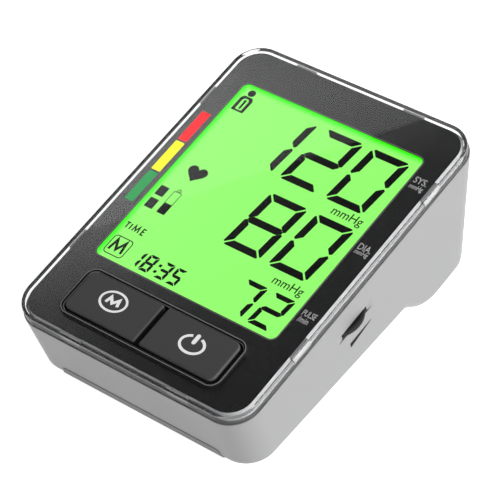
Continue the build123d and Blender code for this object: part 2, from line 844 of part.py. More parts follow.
def make_air_port():
    z = -air_depth
    body = rod(port_body_radius, (port_face, air_y, z), (port_inner_end, air_y, z))
    body += rod(port_collar_radius, (port_face, air_y, z), (port_face + port_collar, air_y, z))
    nut = wall_outside(z) + case_wall + port_nut_gap
    tip = port_inner_end + barb_length
    body += rod(port_nut_radius, (nut, air_y, z), (nut + port_nut, air_y, z))
    body += rod(barb_radius, (port_inner_end, air_y, z), (tip, air_y, z))
    body -= rod(port_radius, (port_face, air_y, z), (port_face + port_length, air_y, z))
    return body - rod(air_passage, (port_face, air_y, z), (tip, air_y, z))


def socket_shape(gap, x0, x1):
    """Flattened oval bar through the left wall."""
    outline = SlotOverall(socket_width + 2 * gap, socket_height + 2 * gap)
    start = Plane(origin=(x0, socket_y, -socket_depth), x_dir=(0, 1, 0), z_dir=(1, 0, 0))
    return extrude(start * outline, amount=x1 - x0)


def make_power_socket():
    z = -socket_depth
    face = wall_outside(z) + socket_stand
    end = face + socket_length
    cavity_end = face + socket_cavity
    body = socket_shape(0, face, end)
    along = (socket_y - socket_block_half, socket_y + socket_block_half)
    body += span((end - socket_block, end), along, (z - socket_block_height, z + socket_block_height))
    body -= socket_shape(-socket_wall, face, cavity_end)
    half = socket_tongue_width / 2
    tongue = (z - socket_tongue / 2, z + socket_tongue / 2)
    return body + span((face + 1, cavity_end), (socket_y - half, socket_y + half), tongue)


def make_loudspeaker():
    stand = (Align.CENTER, Align.CENTER, Align.MIN)
    basket = Cylinder(speaker_radius, speaker_height, align=stand)
    basket -= Cylinder(speaker_radius - basket_wall, speaker_height - basket_roof, align=stand)
    basket += Pos(0, 0, speaker_height) * Cylinder(magnet_radius, magnet_height, align=stand)
    return speaker_seat * basket


def make_speaker_cone():
    outer = speaker_radius - basket_wall - seat
    stand = (Align.CENTER, Align.CENTER, Align.MIN)
    form = Cone(outer, magnet_radius - cone_inset, speaker_height - cone_drop, align=stand)
    return speaker_seat * Pos(0, 0, cone_lift) * (form - Pos(0, 0, -cone_sheet) * form)


# ------------------------------------------------------------------ batteries
def bay_half_width():
    """Half the clear width of the bay at the foot of the contact plates."""
    return -wall_outside(-cell_depth - contact_side / 2) - case_wall - contact_inset


def cell_rows():
    """(y, side) of the two rows; the side says which way the row's positive end points."""
    return ((cell_row, -1), (cell_row + cell_pitch, 1))


def make_cell(y, side, place):
    positive_end = side * (bay_half_width() - contact_plate - slip)
    near = positive_end - side * (nub_length + place * (cell_length + nub_length))
    far = near - side * cell_length
    cell = rod(cell_radius, (near, y, -cell_depth), (far, y, -cell_depth))
    return cell + rod(nub_radius, (near, y, -cell_depth), (near + side * nub_length, y, -cell_depth))


def make_contacts():
    """Sheet metal plates at both ends of the bay: one long bridge and two single ones."""
    reach_x = bay_half_width()
    half = contact_side / 2
    front = cell_row
    back = cell_row + cell_pitch
    z = (-cell_depth - half, -cell_depth + half)
    left = (-reach_x, -reach_x + contact_plate)
    right = (reach_x - contact_plate, reach_x)
    return [
        span(left, (front - half, back + half), z),
        span(right, (front - half, front + half), z),
        span(right, (back - half, back + half), z),
    ]


def make_springs():
    """Bowed leaf at the negative end of each row."""
    leaves = []
    low = -cell_depth - contact_side / 2
    high = -cell_depth + contact_side / 2
    for y, side in cell_rows():
        foot = -side * (bay_half_width() - contact_plate)
        tip = foot + side * spring_bow
        outside = [(foot, low), (tip, -cell_depth), (foot, high)]
        inner_tip = (tip - side * spring_sheet, -cell_depth)
        inside = [(foot, high - spring_foot), inner_tip, (foot, low + spring_foot)]
        outline = make_face(Polyline(*outside, *inside, close=True))
        leaves.append(Pos(0, y, 0) * extrude(Plane.XZ * outline, amount=spring_half, both=True))
    return leaves


def make_battery_door():
    shell = case_volume(0) - case_volume(case_wall)
    door = shell & door_space(0)
    door += rod(hinge_radius, (-door_half_width, hinge_y, hinge_z), (door_half_width, hinge_y, hinge_z))
    pin_end = door_half_width + slip + hinge_pin_length
    door += rod(hinge_pin, (-pin_end, hinge_y, hinge_z), (pin_end, hinge_y, hinge_z))
    tongue_y = door_back - latch_inset
    along = (tongue_y - latch_thickness, tongue_y)
    sweep_up = asin((tongue_y - back_arc[0]) / blend_back)
    low = back_arc[1] - blend_back * cos(sweep_up) + case_wall / 2
    return door + span((-latch_half_width, latch_half_width), along, (low, low + latch_height))


# ------------------------------------------------------------------ fasteners and feet
def cross_slot(x, y, low):
    height = (low, low + cross_depth)
    first = span((x - cross_half, x + cross_half), (y - cross_width, y + cross_width), height)
    return first + span((x - cross_width, x + cross_width), (y - cross_half, y + cross_half), height)


def make_case_screws():
    screws = []
    for x, y in case_screw_places():
        seat_z = floor_height(y) + screw_head + screw_sink
        head_z = seat_z - screw_head
        screw = rod(screw_radius, (x, y, seat_z), (x, y, -screw_post_end + screw_tip))
        screw += rod(screw_head_radius, (x, y, head_z), (x, y, seat_z))
        screws.append(screw - cross_slot(x, y, head_z))
    return screws


def make_board_screws():
    screws = []
    for x, y in board_screw_places():
        screw = rod(board_screw_radius, (x, y, board_low), (x, y, holder_low + board_screw_tip))
        screw += rod(board_screw_head_radius, (x, y, board_low - board_screw_head), (x, y, board_low))
        screws.append(screw)
    return screws


def make_front_foot():
    """Soft strip round the case's lower front edge."""
    proud = case_volume(-foot_stand - foot_cap) - case_volume(0)
    half = front_foot_width / 2
    top = -slab_depth + front_foot_height
    strip = span((-half, half), (-beyond, front_foot_depth), (underside_low, top))
    strip = fillet(strip.edges().filter_by(Axis.Y).group_by(Axis.Z)[-1], front_foot_corner)
    return (proud & strip) - below_ground()


def make_rear_feet():
    proud = case_volume(-foot_stand - foot_cap) - case_volume(0)
    oval = SlotOverall(rear_foot_length, rear_foot_width, rotation=90)
    pad = Pos(rear_foot_x, rear_foot_y, -cell_depth) * extrude(oval, amount=-beyond)
    foot = (proud & pad) - below_ground()
    return on_both_sides(foot)


# ------------------------------------------------------------------ assembly
def all_parts():
    a = (air_x, air_y)
    z = -air_depth
    half = manifold_size / 2
    sensor_low = board_low - sensor_height
    parts = {
        "bottom_case": make_bottom_case(),
        "clear_cover": make_clear_cover(),
        "face_mask": make_face_mask(),
        "top_frame": make_top_frame(),
        "key_well": make_key_well(),
        "memory_key": make_key(-1),
        "power_key": make_key(1),
        "memory_switch": make_switch(-1),
        "power_switch": make_switch(1),
        "memory_switch_button": make_switch_button(-1),
        "power_switch_button": make_switch_button(1),
        "lcd_glass": make_lcd_glass(),
        "lcd_backlight": make_backlight(),
        "lcd_holder": make_lcd_holder(),
        "lcd_contact_strip": contact_space(0),
        "main_board": make_main_board(),
        "control_chip": make_control_chip(),
        "pump_driver_chip": make_pump_driver(),
        "pressure_sensor": make_pressure_sensor(),
        "volume_control": make_pot(),
        "volume_spindle": make_spindle(),
        "volume_wheel": make_wheel(),
        "pump_head": make_pump_head(),
        "pump_motor_can": make_pump_motor(),
        "pump_magnets": make_magnets(),
        "pump_rotor": make_pump_rotor(),
        "pump_cushion": make_pump_cushion(),
        "valve_body": make_valve_body(),
        "valve_core": make_valve_core(),
        "air_manifold": make_manifold(),
        "port_tube": make_tube((port_inner_end, air_y, z), (air_x - half, air_y, z)),
        "valve_tube": make_tube((air_x, valve_back, z), (air_x, air_y - half, z)),
        "sensor_tube": make_tube((*a, sensor_low), (*a, z + half)),
        "pump_tube": make_tube((pump_left, pump_y, z), (air_x, pump_y, z), (air_x, air_y + half, z)),
        "air_port": make_air_port(),
        "power_socket": make_power_socket(),
        "loudspeaker": make_loudspeaker(),
        "speaker_cone": make_speaker_cone(),
        "battery_contacts": make_contacts(),
        "battery_springs": make_springs(),
        "battery_door": make_battery_door(),
        "case_screws": make_case_screws(),
        "board_screws": make_board_screws(),
        "front_foot": make_front_foot(),
        "rear_feet": make_rear_feet(),
    }
    count = 0
    for y, side in cell_rows():
        for place in (0, 1):
            count += 1
            parts[f"battery_cell_{count}"] = make_cell(y, side, place)
    return parts


def as_solids(shape):
    """The separate solids of a piece or of a list of pieces."""
    pieces = shape if isinstance(shape, list) else [shape]
    return [solid for piece in pieces for solid in piece.solids()]


def standing(parts):
    """Every piece turned to stand on the table, with the origin under the middle of the whole."""
    turn = Rot(degrees(rest_tilt), 0, 0)
    turned = {name: [turn * solid for solid in as_solids(shape)] for name, shape in parts.items()}
    low = Vector(1e9, 1e9, 1e9)
    high = Vector(-1e9, -1e9, -1e9)
    for solids in turned.values():
        for solid in solids:
            box = solid.bounding_box()
            low = Vector(*[min(pair) for pair in zip(low, box.min)])
            high = Vector(*[max(pair) for pair in zip(high, box.max)])
    shift = Pos(-(low.X + high.X) / 2, -(low.Y + high.Y) / 2, -low.Z)
    return {name: [shift * solid for solid in solids] for name, solids in turned.items()}


placed = standing(all_parts())
os.makedirs("parts", exist_ok=True)
for name, solids in placed.items():
    shape = solids[0] if len(solids) == 1 else Compound(children=solids)
    export_step(shape, f"parts/{name}.step")
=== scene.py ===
"""Upper arm blood pressure monitor: the looks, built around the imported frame.

Every piece is made lying along the monitor's own face, in millimetres: x runs across the face
(centred), y runs back from the front edge of the black face and z stands up from the printed plane
under the clear cover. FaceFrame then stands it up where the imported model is.
"""

import json
import logging
from dataclasses import dataclass, field
from enum import Enum
from math import atan, atan2, cos, hypot, pi, radians, sin, sqrt, tan

import bmesh
import bpy
import numpy as np
from mathutils import Matrix, Vector


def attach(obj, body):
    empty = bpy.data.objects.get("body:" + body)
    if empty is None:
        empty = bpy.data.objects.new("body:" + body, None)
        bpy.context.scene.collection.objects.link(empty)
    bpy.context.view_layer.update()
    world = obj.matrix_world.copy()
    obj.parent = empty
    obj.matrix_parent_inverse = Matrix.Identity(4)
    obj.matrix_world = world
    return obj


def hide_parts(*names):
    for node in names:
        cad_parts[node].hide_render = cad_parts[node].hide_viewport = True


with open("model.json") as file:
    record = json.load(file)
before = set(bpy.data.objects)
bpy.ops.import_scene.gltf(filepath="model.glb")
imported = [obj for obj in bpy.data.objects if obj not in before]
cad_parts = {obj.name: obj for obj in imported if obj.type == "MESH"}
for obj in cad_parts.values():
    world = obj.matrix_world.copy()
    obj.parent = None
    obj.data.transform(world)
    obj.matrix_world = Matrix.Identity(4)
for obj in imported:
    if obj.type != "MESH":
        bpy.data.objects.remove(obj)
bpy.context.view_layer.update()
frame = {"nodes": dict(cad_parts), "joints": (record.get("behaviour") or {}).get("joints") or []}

log = logging.getLogger("monitor")
MM = 0.001
SMOOTH_UNDER = radians(35)   # faces that meet at less than this are shaded as one surface
MERGE_WITHIN = 1e-6          # points nearer than this, in metres, become one

Point = tuple[float, float, float]
Flat = tuple[float, float]
Face = tuple[int, ...]
Solid = tuple[list[Point], list[Face]]     # points and faces that are not a mesh yet
Line = tuple[float, float, float]          # (y, z, angle) in the side view
Box = tuple[float, float, float, float]    # low x, low y, high x, high y
Piece = bpy.types.Object
Socket = bpy.types.NodeSocket


# ---------------------------------------------------------------------- places
@dataclass(frozen=True)
class FaceFrame:
    """Where the monitor's face lies in the row frame."""

    tilt: float
    origin: Vector

    @classmethod
    def from_frame(cls) -> "FaceFrame":
        """Reads the tilt from the memory key's travel and the origin from the face mask.

        Returns:
            The face frame, whose origin is the middle of the face's front edge.
        """
        joint = next(j for j in frame["joints"] if j["name"] == "memory_key_press")
        down = Vector(joint["axis"])
        tilt = atan2(down.y, -down.z)
        turn = Matrix.Rotation(-tilt, 3, "X")
        points = [turn @ v.co for v in frame["nodes"]["face_mask"].data.vertices]
        low = Vector([min(p[i] for p in points) for i in range(3)])
        high = Vector([max(p[i] for p in points) for i in range(3)])
        corner = Vector(((low.x + high.x) / 2, low.y, high.z))
        return cls(tilt, Matrix.Rotation(tilt, 3, "X") @ corner)

    def matrix(self) -> Matrix:
        """Takes millimetres on the face to metres in the row frame."""
        return Matrix.Translation(self.origin) @ Matrix.Rotation(self.tilt, 4, "X") @ Matrix.Scale(MM, 4)

    def place(self, x: float, y: float, z: float) -> Vector:
        """A point given on the face, in the row frame."""
        return self.matrix() @ Vector((x, y, z))


@dataclass(frozen=True)
class Form:
    """Sizes that several sub-assemblies share, in millimetres."""

    panel_width: float = 110.0
    panel_length: float = 152.6
    cover_margin: float = 2.6
    cover_corner: float = 12.4
    cover_plate: float = 1.65
    cover_edge: float = 1.3
    skirt_depth: float = 3.6
    skirt_wall: float = 1.4
    window_width: float = 90.3
    window_length: float = 100.0
    window_corner: float = 2.8
    window_centre: float = 85.7
    glass_top: float = 0.8
    case_margin: float = 3.0
    case_corner: float = 12.6
    case_wall: float = 2.2
    side_draft: float = radians(2.6)
    front_draft: float = radians(2.7)
    back_lean: float = radians(17.0)
    slab_depth: float = 34.0
    slab_slope: float = 0.10
    hump_start: float = 95.0
    hump_ramp: float = radians(46.4)
    hump_depth: float = 56.0
    blend_start: float = 5.0
    blend_front: float = 20.0
    blend_back: float = 16.0
    edge_round: float = 4.2
    key_width: float = 36.2
    key_length: float = 19.4
    key_gap: float = 2.4
    key_height: float = 3.0
    key_centre: float = 17.8
    well_border_x: float = 2.7
    well_border_y: float = 2.3
    well_corner: float = 5.1
    wheel_radius: float = 11.0
    wheel_thickness: float = 2.6
    wheel_stand: float = 2.2
    wheel_y: float = 66.4
    wheel_depth: float = 16.5

    def side_x(self, z: float) -> float:
        """Half the case's width at a height."""
        drop = -self.skirt_depth - z
        return self.panel_width / 2 + self.case_margin - drop * tan(self.side_draft)

    def wheel_x(self) -> float:
        """The volume wheel's axis."""
        return self.side_x(-self.wheel_depth) + self.wheel_stand - self.wheel_radius

    def rim(self) -> Flat:
        """Width and length of the key well's rim."""
        wide = 2 * self.key_width + self.key_gap + 2 * self.well_border_x
        return wide, self.key_length + 2 * self.well_border_y

    def floor_height(self, y: float) -> float:
        """Height of the slab's underside."""
        return -self.slab_depth - self.slab_slope * y


FORM = Form()
FACE = FaceFrame.from_frame()


# ---------------------------------------------------------------------- meshes
def rounded_rectangle(width: float, length: float, corners: tuple[float, ...], x: float = 0.0, y: float = 0.0,
                      side_steps: int = 1, corner_steps: int = 10) -> list[Flat]:
    """Outline of a rectangle with round corners, counter-clockwise from its right side.

    Args:
        width: size across.
        length: size front to back.
        corners: one radius, or four: front right, back right, back left, front left.
        x: centre across.
        y: centre front to back.
        side_steps: edges along each straight side.
        corner_steps: edges round each corner.

    Returns:
        The outline's points; outlines with the same steps match point by point.
    """
    radii = corners * 4 if len(corners) == 1 else corners
    places = ((1, -1, -pi / 2), (1, 1, 0.0), (-1, 1, pi / 2), (-1, -1, pi))
    arcs = []
    for (sx, sy, start), radius in zip(places, radii):
        cx = x + sx * (width / 2 - radius)
        cy = y + sy * (length / 2 - radius)
        turns = [start + pi / 2 * k / corner_steps for k in range(corner_steps + 1)]
        arcs.append([(cx + radius * cos(t), cy + radius * sin(t)) for t in turns])
    points = []
    for this, after in zip(arcs, arcs[1:] + arcs[:1]):
        points += this
        (x0, y0), (x1, y1) = this[-1], after[0]
        for k in range(1, side_steps):
            points.append((x0 + (x1 - x0) * k / side_steps, y0 + (y1 - y0) * k / side_steps))
    return points


def ellipse(x: float, y: float, across: float, along: float, steps: int) -> list[Flat]:
    """Points round an ellipse, counter-clockwise from its right side."""
    turns = [2 * pi * k / steps for k in range(steps)]
    return [(x + across * cos(t), y + along * sin(t)) for t in turns]


def at_height(outline: list[Flat], z: float) -> list[Point]:
    """A flat outline's points at a height."""
    return [(x, y, z) for x, y in outline]


def finish_mesh(mesh: bpy.types.Mesh, recalculate: bool = True) -> None:
    """Merges doubles and shades the mesh smooth between its sharp edges.

    Args:
        mesh: the mesh to finish.
        recalculate: True to turn its faces outward as well.
    """
    bm = bmesh.new()
    bm.from_mesh(mesh)
    bmesh.ops.remove_doubles(bm, verts=bm.verts, dist=MERGE_WITHIN)
    bmesh.ops.dissolve_degenerate(bm, edges=bm.edges, dist=MERGE_WITHIN)
    if recalculate:
        bmesh.ops.recalc_face_normals(bm, faces=bm.faces)
    bm.to_mesh(mesh)
    bm.free()
    mesh.shade_smooth()
    mesh.set_sharp_from_angle(angle=SMOOTH_UNDER)
    mesh.update()


def linked(name: str, data: bpy.types.ID) -> Piece:
    """A new object in the scene."""
    made = bpy.data.objects.new(name, data)
    bpy.context.scene.collection.objects.link(made)
    return made


def new_piece(name: str, points: list[Point], faces: list[Face]) -> Piece:
    """A piece from points on the face, in millimetres, stood up in the row frame.

    Args:
        name: the piece's name.
        points: its points.
        faces: its faces, as indices of the points.

    Returns:
        The piece.
    """
    mesh = bpy.data.meshes.new(name)
    mesh.from_pydata([tuple(p) for p in points], [], faces)
    mesh.transform(FACE.matrix())
    piece = linked(name, mesh)
    finish_mesh(mesh)
    return piece


def ring_faces(rings: int, count: int, close_low: bool, close_high: bool) -> list[Face]:
    """Faces between matching closed rings of points.

    Args:
        rings: how many rings there are.
        count: points in each ring.
        close_low: True to cap the first ring.
        close_high: True to cap the last ring.

    Returns:
        The faces, with the points numbered ring by ring.
    """
    faces = []
    for r in range(rings - 1):
        for k in range(count):
            after = (k + 1) % count
            faces.append((r * count + k, r * count + after, (r + 1) * count + after, (r + 1) * count + k))
    if close_low:
        faces.append(tuple(reversed(range(count))))
    if close_high:
        faces.append(tuple(range((rings - 1) * count, rings * count)))
    return faces


def lofted(name: str, rings: list[list[Point]], closed: bool = False) -> Piece:
    """A piece lofted through matching rings.

    Args:
        name: the piece's name.
        rings: its rings of points, in order.
        closed: True to join the last ring to the first, False to cap both ends.

    Returns:
        The piece.
    """
    points = [p for ring in rings for p in ring]
    count = len(rings[0])
    faces = ring_faces(len(rings), count, not closed, not closed)
    if closed:
        last = (len(rings) - 1) * count
        for k in range(count):
            after = (k + 1) % count
            faces.append((last + k, last + after, after, k))
    return new_piece(name, points, faces)


def prism(outline: list[Flat], low: float, high: float) -> Solid:
    """Points and faces of a flat outline stood up between two heights."""
    return at_height(outline, low) + at_height(outline, high), ring_faces(2, len(outline), True, True)


def joined(name: str, parts: list[Solid]) -> Piece:
    """One piece from several sets of points and faces.

    Args:
        name: the piece's name.
        parts: the sets, each numbered from its own first point.

    Returns:
        The piece.
    """
    points: list[Point] = []
    faces: list[Face] = []
    for part_points, part_faces in parts:
        start = len(points)
        points += part_points
        faces += [tuple(i + start for i in face) for face in part_faces]
    return new_piece(name, points, faces)


def round_bar(radius: float, start: Point, end: Point, sides: int = 48) -> Solid:
    """Points and faces of a round bar from one point to another.

    Args:
        radius: its radius.
        start: centre of one end.
        end: centre of the other end.
        sides: faces round it.

    Returns:
        Its points and faces.
    """
    way = (Vector(end) - Vector(start)).normalized()
    across = way.orthogonal().normalized()
    up = way.cross(across)
    points = []
    for centre in (Vector(start), Vector(end)):
        for k in range(sides):
            turn = 2 * pi * k / sides
            points.append(tuple(centre + radius * (cos(turn) * across + sin(turn) * up)))
    return points, ring_faces(2, sides, True, True)


def apply_modifiers(piece: Piece) -> None:
    """Turns a piece's modifiers into plain mesh."""
    graph = bpy.context.evaluated_depsgraph_get()
    mesh = bpy.data.meshes.new_from_object(piece.evaluated_get(graph))
    piece.modifiers.clear()
    old = piece.data
    piece.data = mesh
    mesh.name = piece.name
    bpy.data.meshes.remove(old)


def cut(piece: Piece, cutter: Piece) -> None:
    """Takes the cutter out of the piece and removes the cutter.

    Args:
        piece: the piece that is cut.
        cutter: the shape that is taken out of it.
    """
    modifier = piece.modifiers.new("cut", "BOOLEAN")
    modifier.operation = "DIFFERENCE"
    modifier.solver = "MANIFOLD"
    modifier.object = cutter
    bpy.context.view_layer.update()
    apply_modifiers(piece)
    log.debug("cut %s with %s", piece.name, cutter.name)
    bpy.data.objects.remove(cutter)


def settle_normals(piece: Piece) -> None:
    """Keeps flat faces flat beside small roundings, by weighting normals with face area."""
    finish_mesh(piece.data, recalculate=False)
    modifier = piece.modifiers.new("weigh", "WEIGHTED_NORMAL")
    modifier.keep_sharp = True
    modifier.weight = 100
    apply_modifiers(piece)


def from_cad(name: str, node: str) -> Piece:
    """A smoothly shaded copy of a frame node that stands for it.

    Args:
        name: the copy's name.
        node: the frame node.

    Returns:
        The copy.
    """
    source = frame["nodes"][node]
    mesh = source.data.copy()
    mesh.materials.clear()
    mesh.name = name
    piece = linked(name, mesh)
    settle_normals(piece)
    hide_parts(node)
    return piece


# ---------------------------------------------------------------------- finishes
Colour = tuple[float, float, float]
CLOUDS = 38.0            # slow changes of colour per metre
GRAIN_DEPTH = 0.00005    # metres


def light_of(level: int) -> float:
    """Light of one screen level from 0 to 255, by the sRGB curve."""
    share = level / 255
    return share / 12.92 if level <= 10 else ((share + 0.055) / 1.055) ** 2.4


def shade(red: int, green: int, blue: int) -> Colour:
    """A colour given as the eye reads it on a screen, as light."""
    return light_of(red), light_of(green), light_of(blue)


def opaque(colour: Colour) -> tuple[float, float, float, float]:
    """A colour with full alpha."""
    return (*colour, 1.0)


class Tree:
    """A short way to write a node tree."""

    def __init__(self, tree: bpy.types.NodeTree) -> None:
        """Takes the tree to write."""
        self.tree = tree

    def add(self, kind: str, **values: object) -> bpy.types.Node:
        """A new node with some of its properties set."""
        node = self.tree.nodes.new(kind)
        for name, value in values.items():
            setattr(node, name, value)
        return node

    def link(self, source: Socket, target: Socket) -> None:
        """Joins two sockets."""
        self.tree.links.new(source, target)

    def math(self, operation: str, first: Socket, second: Socket | float = 0.0) -> Socket:
        """A sum on one or two values.

        Args:
            operation: the kind of sum.
            first: its first value.
            second: its second value, where it has one.

        Returns:
            The result.
        """
        node = self.add("ShaderNodeMath", operation=operation)
        self.link(first, node.inputs[0])
        if isinstance(second, Socket):
            self.link(second, node.inputs[1])
        else:
            node.inputs[1].default_value = second
        return node.outputs[0]


class Nodes(Tree):
    """A material with a Principled shader, and the nodes that feed it."""

    def __init__(self, name: str) -> None:
        """Starts the material with an output and a Principled shader."""
        self.material = bpy.data.materials.new(name)
        self.material.use_nodes = True
        super().__init__(self.material.node_tree)
        self.tree.nodes.clear()
        self.output = self.add("ShaderNodeOutputMaterial")
        self.shader = self.add("ShaderNodeBsdfPrincipled")
        self.link(self.shader.outputs[0], self.output.inputs["Surface"])

    def shape(self, socket: str, source: Socket) -> None:
        """Drives one of the shader's inputs."""
        self.link(source, self.shader.inputs[socket])

    def place(self) -> Socket:
        """The Object coordinates, in metres."""
        return self.add("ShaderNodeTexCoord").outputs["Object"]

    def on_face(self) -> Socket:
        """Object coordinates turned to lie along the face, in metres from the face's origin."""
        mapping = self.add("ShaderNodeMapping", vector_type="POINT")
        turn = Matrix.Rotation(-FACE.tilt, 3, "X")
        mapping.inputs["Rotation"].default_value = (-FACE.tilt, 0, 0)
        mapping.inputs["Location"].default_value = -(turn @ FACE.origin)
        self.link(self.place(), mapping.inputs["Vector"])
        return mapping.outputs["Vector"]

    def noise(self, vector: Socket, scale: float, detail: float = 2.0, roughness: float = 0.5) -> Socket:
        """Noise over a set of coordinates.

        Args:
            vector: the coordinates, in metres.
            scale: changes per metre.
            detail: how many finer layers it has.
            roughness: how strong the finer layers are.

        Returns:
            A value that is mostly from 0.3 to 0.7.
        """
        node = self.add("ShaderNodeTexNoise")
        node.inputs["Scale"].default_value = scale
        node.inputs["Detail"].default_value = detail
        node.inputs["Roughness"].default_value = roughness
        self.link(vector, node.inputs["Vector"])
        return node.outputs["Fac"]

    def spread(self, value: Socket, low: float, high: float, start: float = 0.3, end: float = 0.7,
               smooth: bool = False) -> Socket:
        """Maps a value from start..end onto low..high.

        Args:
            value: the value.
            low: what start becomes.
            high: what end becomes.
            start: where the range begins.
            end: where the range ends.
            smooth: True to ease in and out at its ends.

        Returns:
            The mapped value.
        """
        node = self.add("ShaderNodeMapRange", interpolation_type="SMOOTHSTEP" if smooth else "LINEAR")
        for name, number in (("From Min", start), ("From Max", end), ("To Min", low), ("To Max", high)):
            node.inputs[name].default_value = number
        self.link(value, node.inputs["Value"])
        return node.outputs["Result"]

    def mixed(self, factor: Socket, first: Colour, second: Colour) -> Socket:
        """A colour between two by a factor.

        Args:
            factor: 0 for the first colour, 1 for the second.
            first: one colour.
            second: the other colour.

        Returns:
            The colour.
        """
        node = self.add("ShaderNodeMix", data_type="RGBA")
        ends = {"A": opaque(first), "B": opaque(second)}
        for socket in node.inputs:
            if socket.name in ends and socket.type == "RGBA":
                socket.default_value = ends[socket.name]
        self.link(factor, node.inputs[0])
        return next(s for s in node.outputs if s.type == "RGBA")

    def bump(self, height: Socket, strength: float, distance: float) -> None:
        """Lets a height roughen the shader's normal.

        Args:
            height: the height, from 0 to 1.
            strength: how much of it shows.
            distance: its full height in metres.
        """
        node = self.add("ShaderNodeBump")
        node.inputs["Strength"].default_value = strength
        node.inputs["Distance"].default_value = distance
        self.link(height, node.inputs["Height"])
        self.shape("Normal", node.outputs["Normal"])

    def set(self, **numbers: object) -> None:
        """Sets plain numbers on the shader's own sockets, named with underscores for spaces."""
        for name, value in numbers.items():
            self.shader.inputs[name.replace("_", " ")].default_value = value


@dataclass(frozen=True)
class Moulded:
    """Moulded plastic, rubber, paper or sheet metal with a fine grain."""

    name: str
    slot: str
    colour: Colour
    variation: float = 0.05        # how much the colour drifts over the piece
    roughness: float = 0.45
    roughness_spread: float = 0.08
    grain: float = 2600.0          # grains per metre
    relief: float = 0.12
    metallic: float = 0.0

    def material(self) -> bpy.types.Material:
        """Builds the material."""
        nodes = Nodes(self.name)
        place = nodes.place()
        cloud = nodes.noise(place, CLOUDS, 3.0)
        grain = nodes.noise(place, self.grain, 2.0, 0.6)
        dark = tuple(c * (1 - self.variation) for c in self.colour)
        light = tuple(min(1.0, c * (1 + self.variation)) for c in self.colour)
        both = nodes.math("ADD", nodes.math("MULTIPLY", cloud, 0.7), nodes.math("MULTIPLY", grain, 0.3))
        nodes.shape("Base Color", nodes.mixed(nodes.spread(both, 0, 1), dark, light))
        low = self.roughness - self.roughness_spread
        rough = nodes.spread(both, low, self.roughness + self.roughness_spread)
        nodes.shape("Roughness", rough)
        nodes.bump(grain, self.relief, GRAIN_DEPTH)
        nodes.set(Metallic=self.metallic)
        return nodes.material


@dataclass(frozen=True)
class Clear:
    """Clear acrylic that lets light through to what it covers."""

    name: str = "clear_acrylic"
    slot: str = "clear_plastic"
    tint: Colour = (0.985, 0.99, 0.99)
    shadow: Colour = (0.93, 0.93, 0.93)    # what a lamp's light keeps on its way through
    haze: float = 0.012

    def material(self) -> bpy.types.Material:
        """Builds the material: glass that lamps shine straight through."""
        nodes = Nodes(self.name)
        nodes.set(Transmission_Weight=1.0, IOR=1.2, Specular_IOR_Level=0.5)
        clouds = nodes.noise(nodes.place(), 60.0, 2.0)
        nodes.shape("Roughness", nodes.spread(clouds, 0.0, self.haze))
        nodes.shader.inputs["Base Color"].default_value = opaque(self.tint)
        through = nodes.add("ShaderNodeBsdfTransparent")
        through.inputs["Color"].default_value = opaque(self.shadow)
        path = nodes.add("ShaderNodeLightPath")
        mix = nodes.add("ShaderNodeMixShader")
        nodes.link(path.outputs["Is Shadow Ray"], mix.inputs[0])
        nodes.link(nodes.shader.outputs[0], mix.inputs[1])
        nodes.link(through.outputs[0], mix.inputs[2])
        nodes.link(mix.outputs[0], nodes.output.inputs["Surface"])
        return nodes.material


@dataclass(frozen=True)
class Glow:
    """The backlit display: even green, with painted shade along the window's back and left edges, a deeper green
    that stands in for the shaded walls of its light cavity.
    """

    name: str = "display_glow"
    slot: str = "display_green"
    even: Colour = shade(150, 255, 113)
    # painted shade: the deeper green that stands in for the shaded inner walls of the window's light cavity
    painted_shade_green: Colour = shade(56, 255, 2)
    band: float = 3.2              # width of the painted shade, in millimetres from the edge to the even green
    unlit: float = 0.12            # the glass's own colour, as a share of the even green

    def material(self) -> bpy.types.Material:
        """Builds the material."""
        nodes = Nodes(self.name)
        split = nodes.add("ShaderNodeSeparateXYZ")
        nodes.link(nodes.on_face(), split.inputs[0])
        back = (FORM.window_centre + FORM.window_length / 2) * MM
        from_left = nodes.math("ADD", split.outputs["X"], FORM.window_width / 2 * MM)
        from_back = nodes.math("MULTIPLY", nodes.math("SUBTRACT", split.outputs["Y"], back), -1.0)
        nearest = nodes.math("MINIMUM", from_left, from_back)
        # painted shade: near the back and left edges the emission turns to the painted shade green
        evenness = nodes.spread(nearest, 0.0, 1.0, 0.0, self.band * MM, smooth=True)
        mottle = nodes.spread(nodes.noise(nodes.place(), 900.0, 2.0), 0.96, 1.0)
        factor = nodes.math("MULTIPLY", evenness, mottle)
        colour = nodes.mixed(factor, self.painted_shade_green, self.even)
        nodes.shape("Emission Color", colour)
        nodes.shader.inputs["Base Color"].default_value = opaque(tuple(c * self.unlit for c in self.even))
        nodes.set(Emission_Strength=0.96, Roughness=0.25, Specular_IOR_Level=0.22)
        return nodes.material


@dataclass(frozen=True)
class Ink:
    """Screen-printed ink or a display segment; where it has painted glow, it gives out light of its own though
    it is no lamp.
    """

    name: str
    slot: str
    colour: Colour
    # painted glow: emission strength that makes the ink shine brighter than the lamps light it
    painted_glow: float = 0.0
    roughness: float = 0.4

    def material(self) -> bpy.types.Material:
        """Builds the material."""
        nodes = Nodes(self.name)
        place = nodes.place()
        dots = nodes.spread(nodes.noise(place, 5200.0, 1.0), 0, 1)
        dim = tuple(c * 0.93 for c in self.colour)
        colour = nodes.mixed(dots, dim, self.colour)
        nodes.shape("Base Color", colour)
        low, high = self.roughness - 0.05, self.roughness + 0.05
        nodes.shape("Roughness", nodes.spread(dots, low, high, 0, 1))
        nodes.set(Specular_IOR_Level=0.08)
        # painted glow: the ink's own colour is also sent out as light
        if self.painted_glow:
            nodes.shape("Emission Color", colour)
            nodes.set(Emission_Strength=self.painted_glow)
        return nodes.material


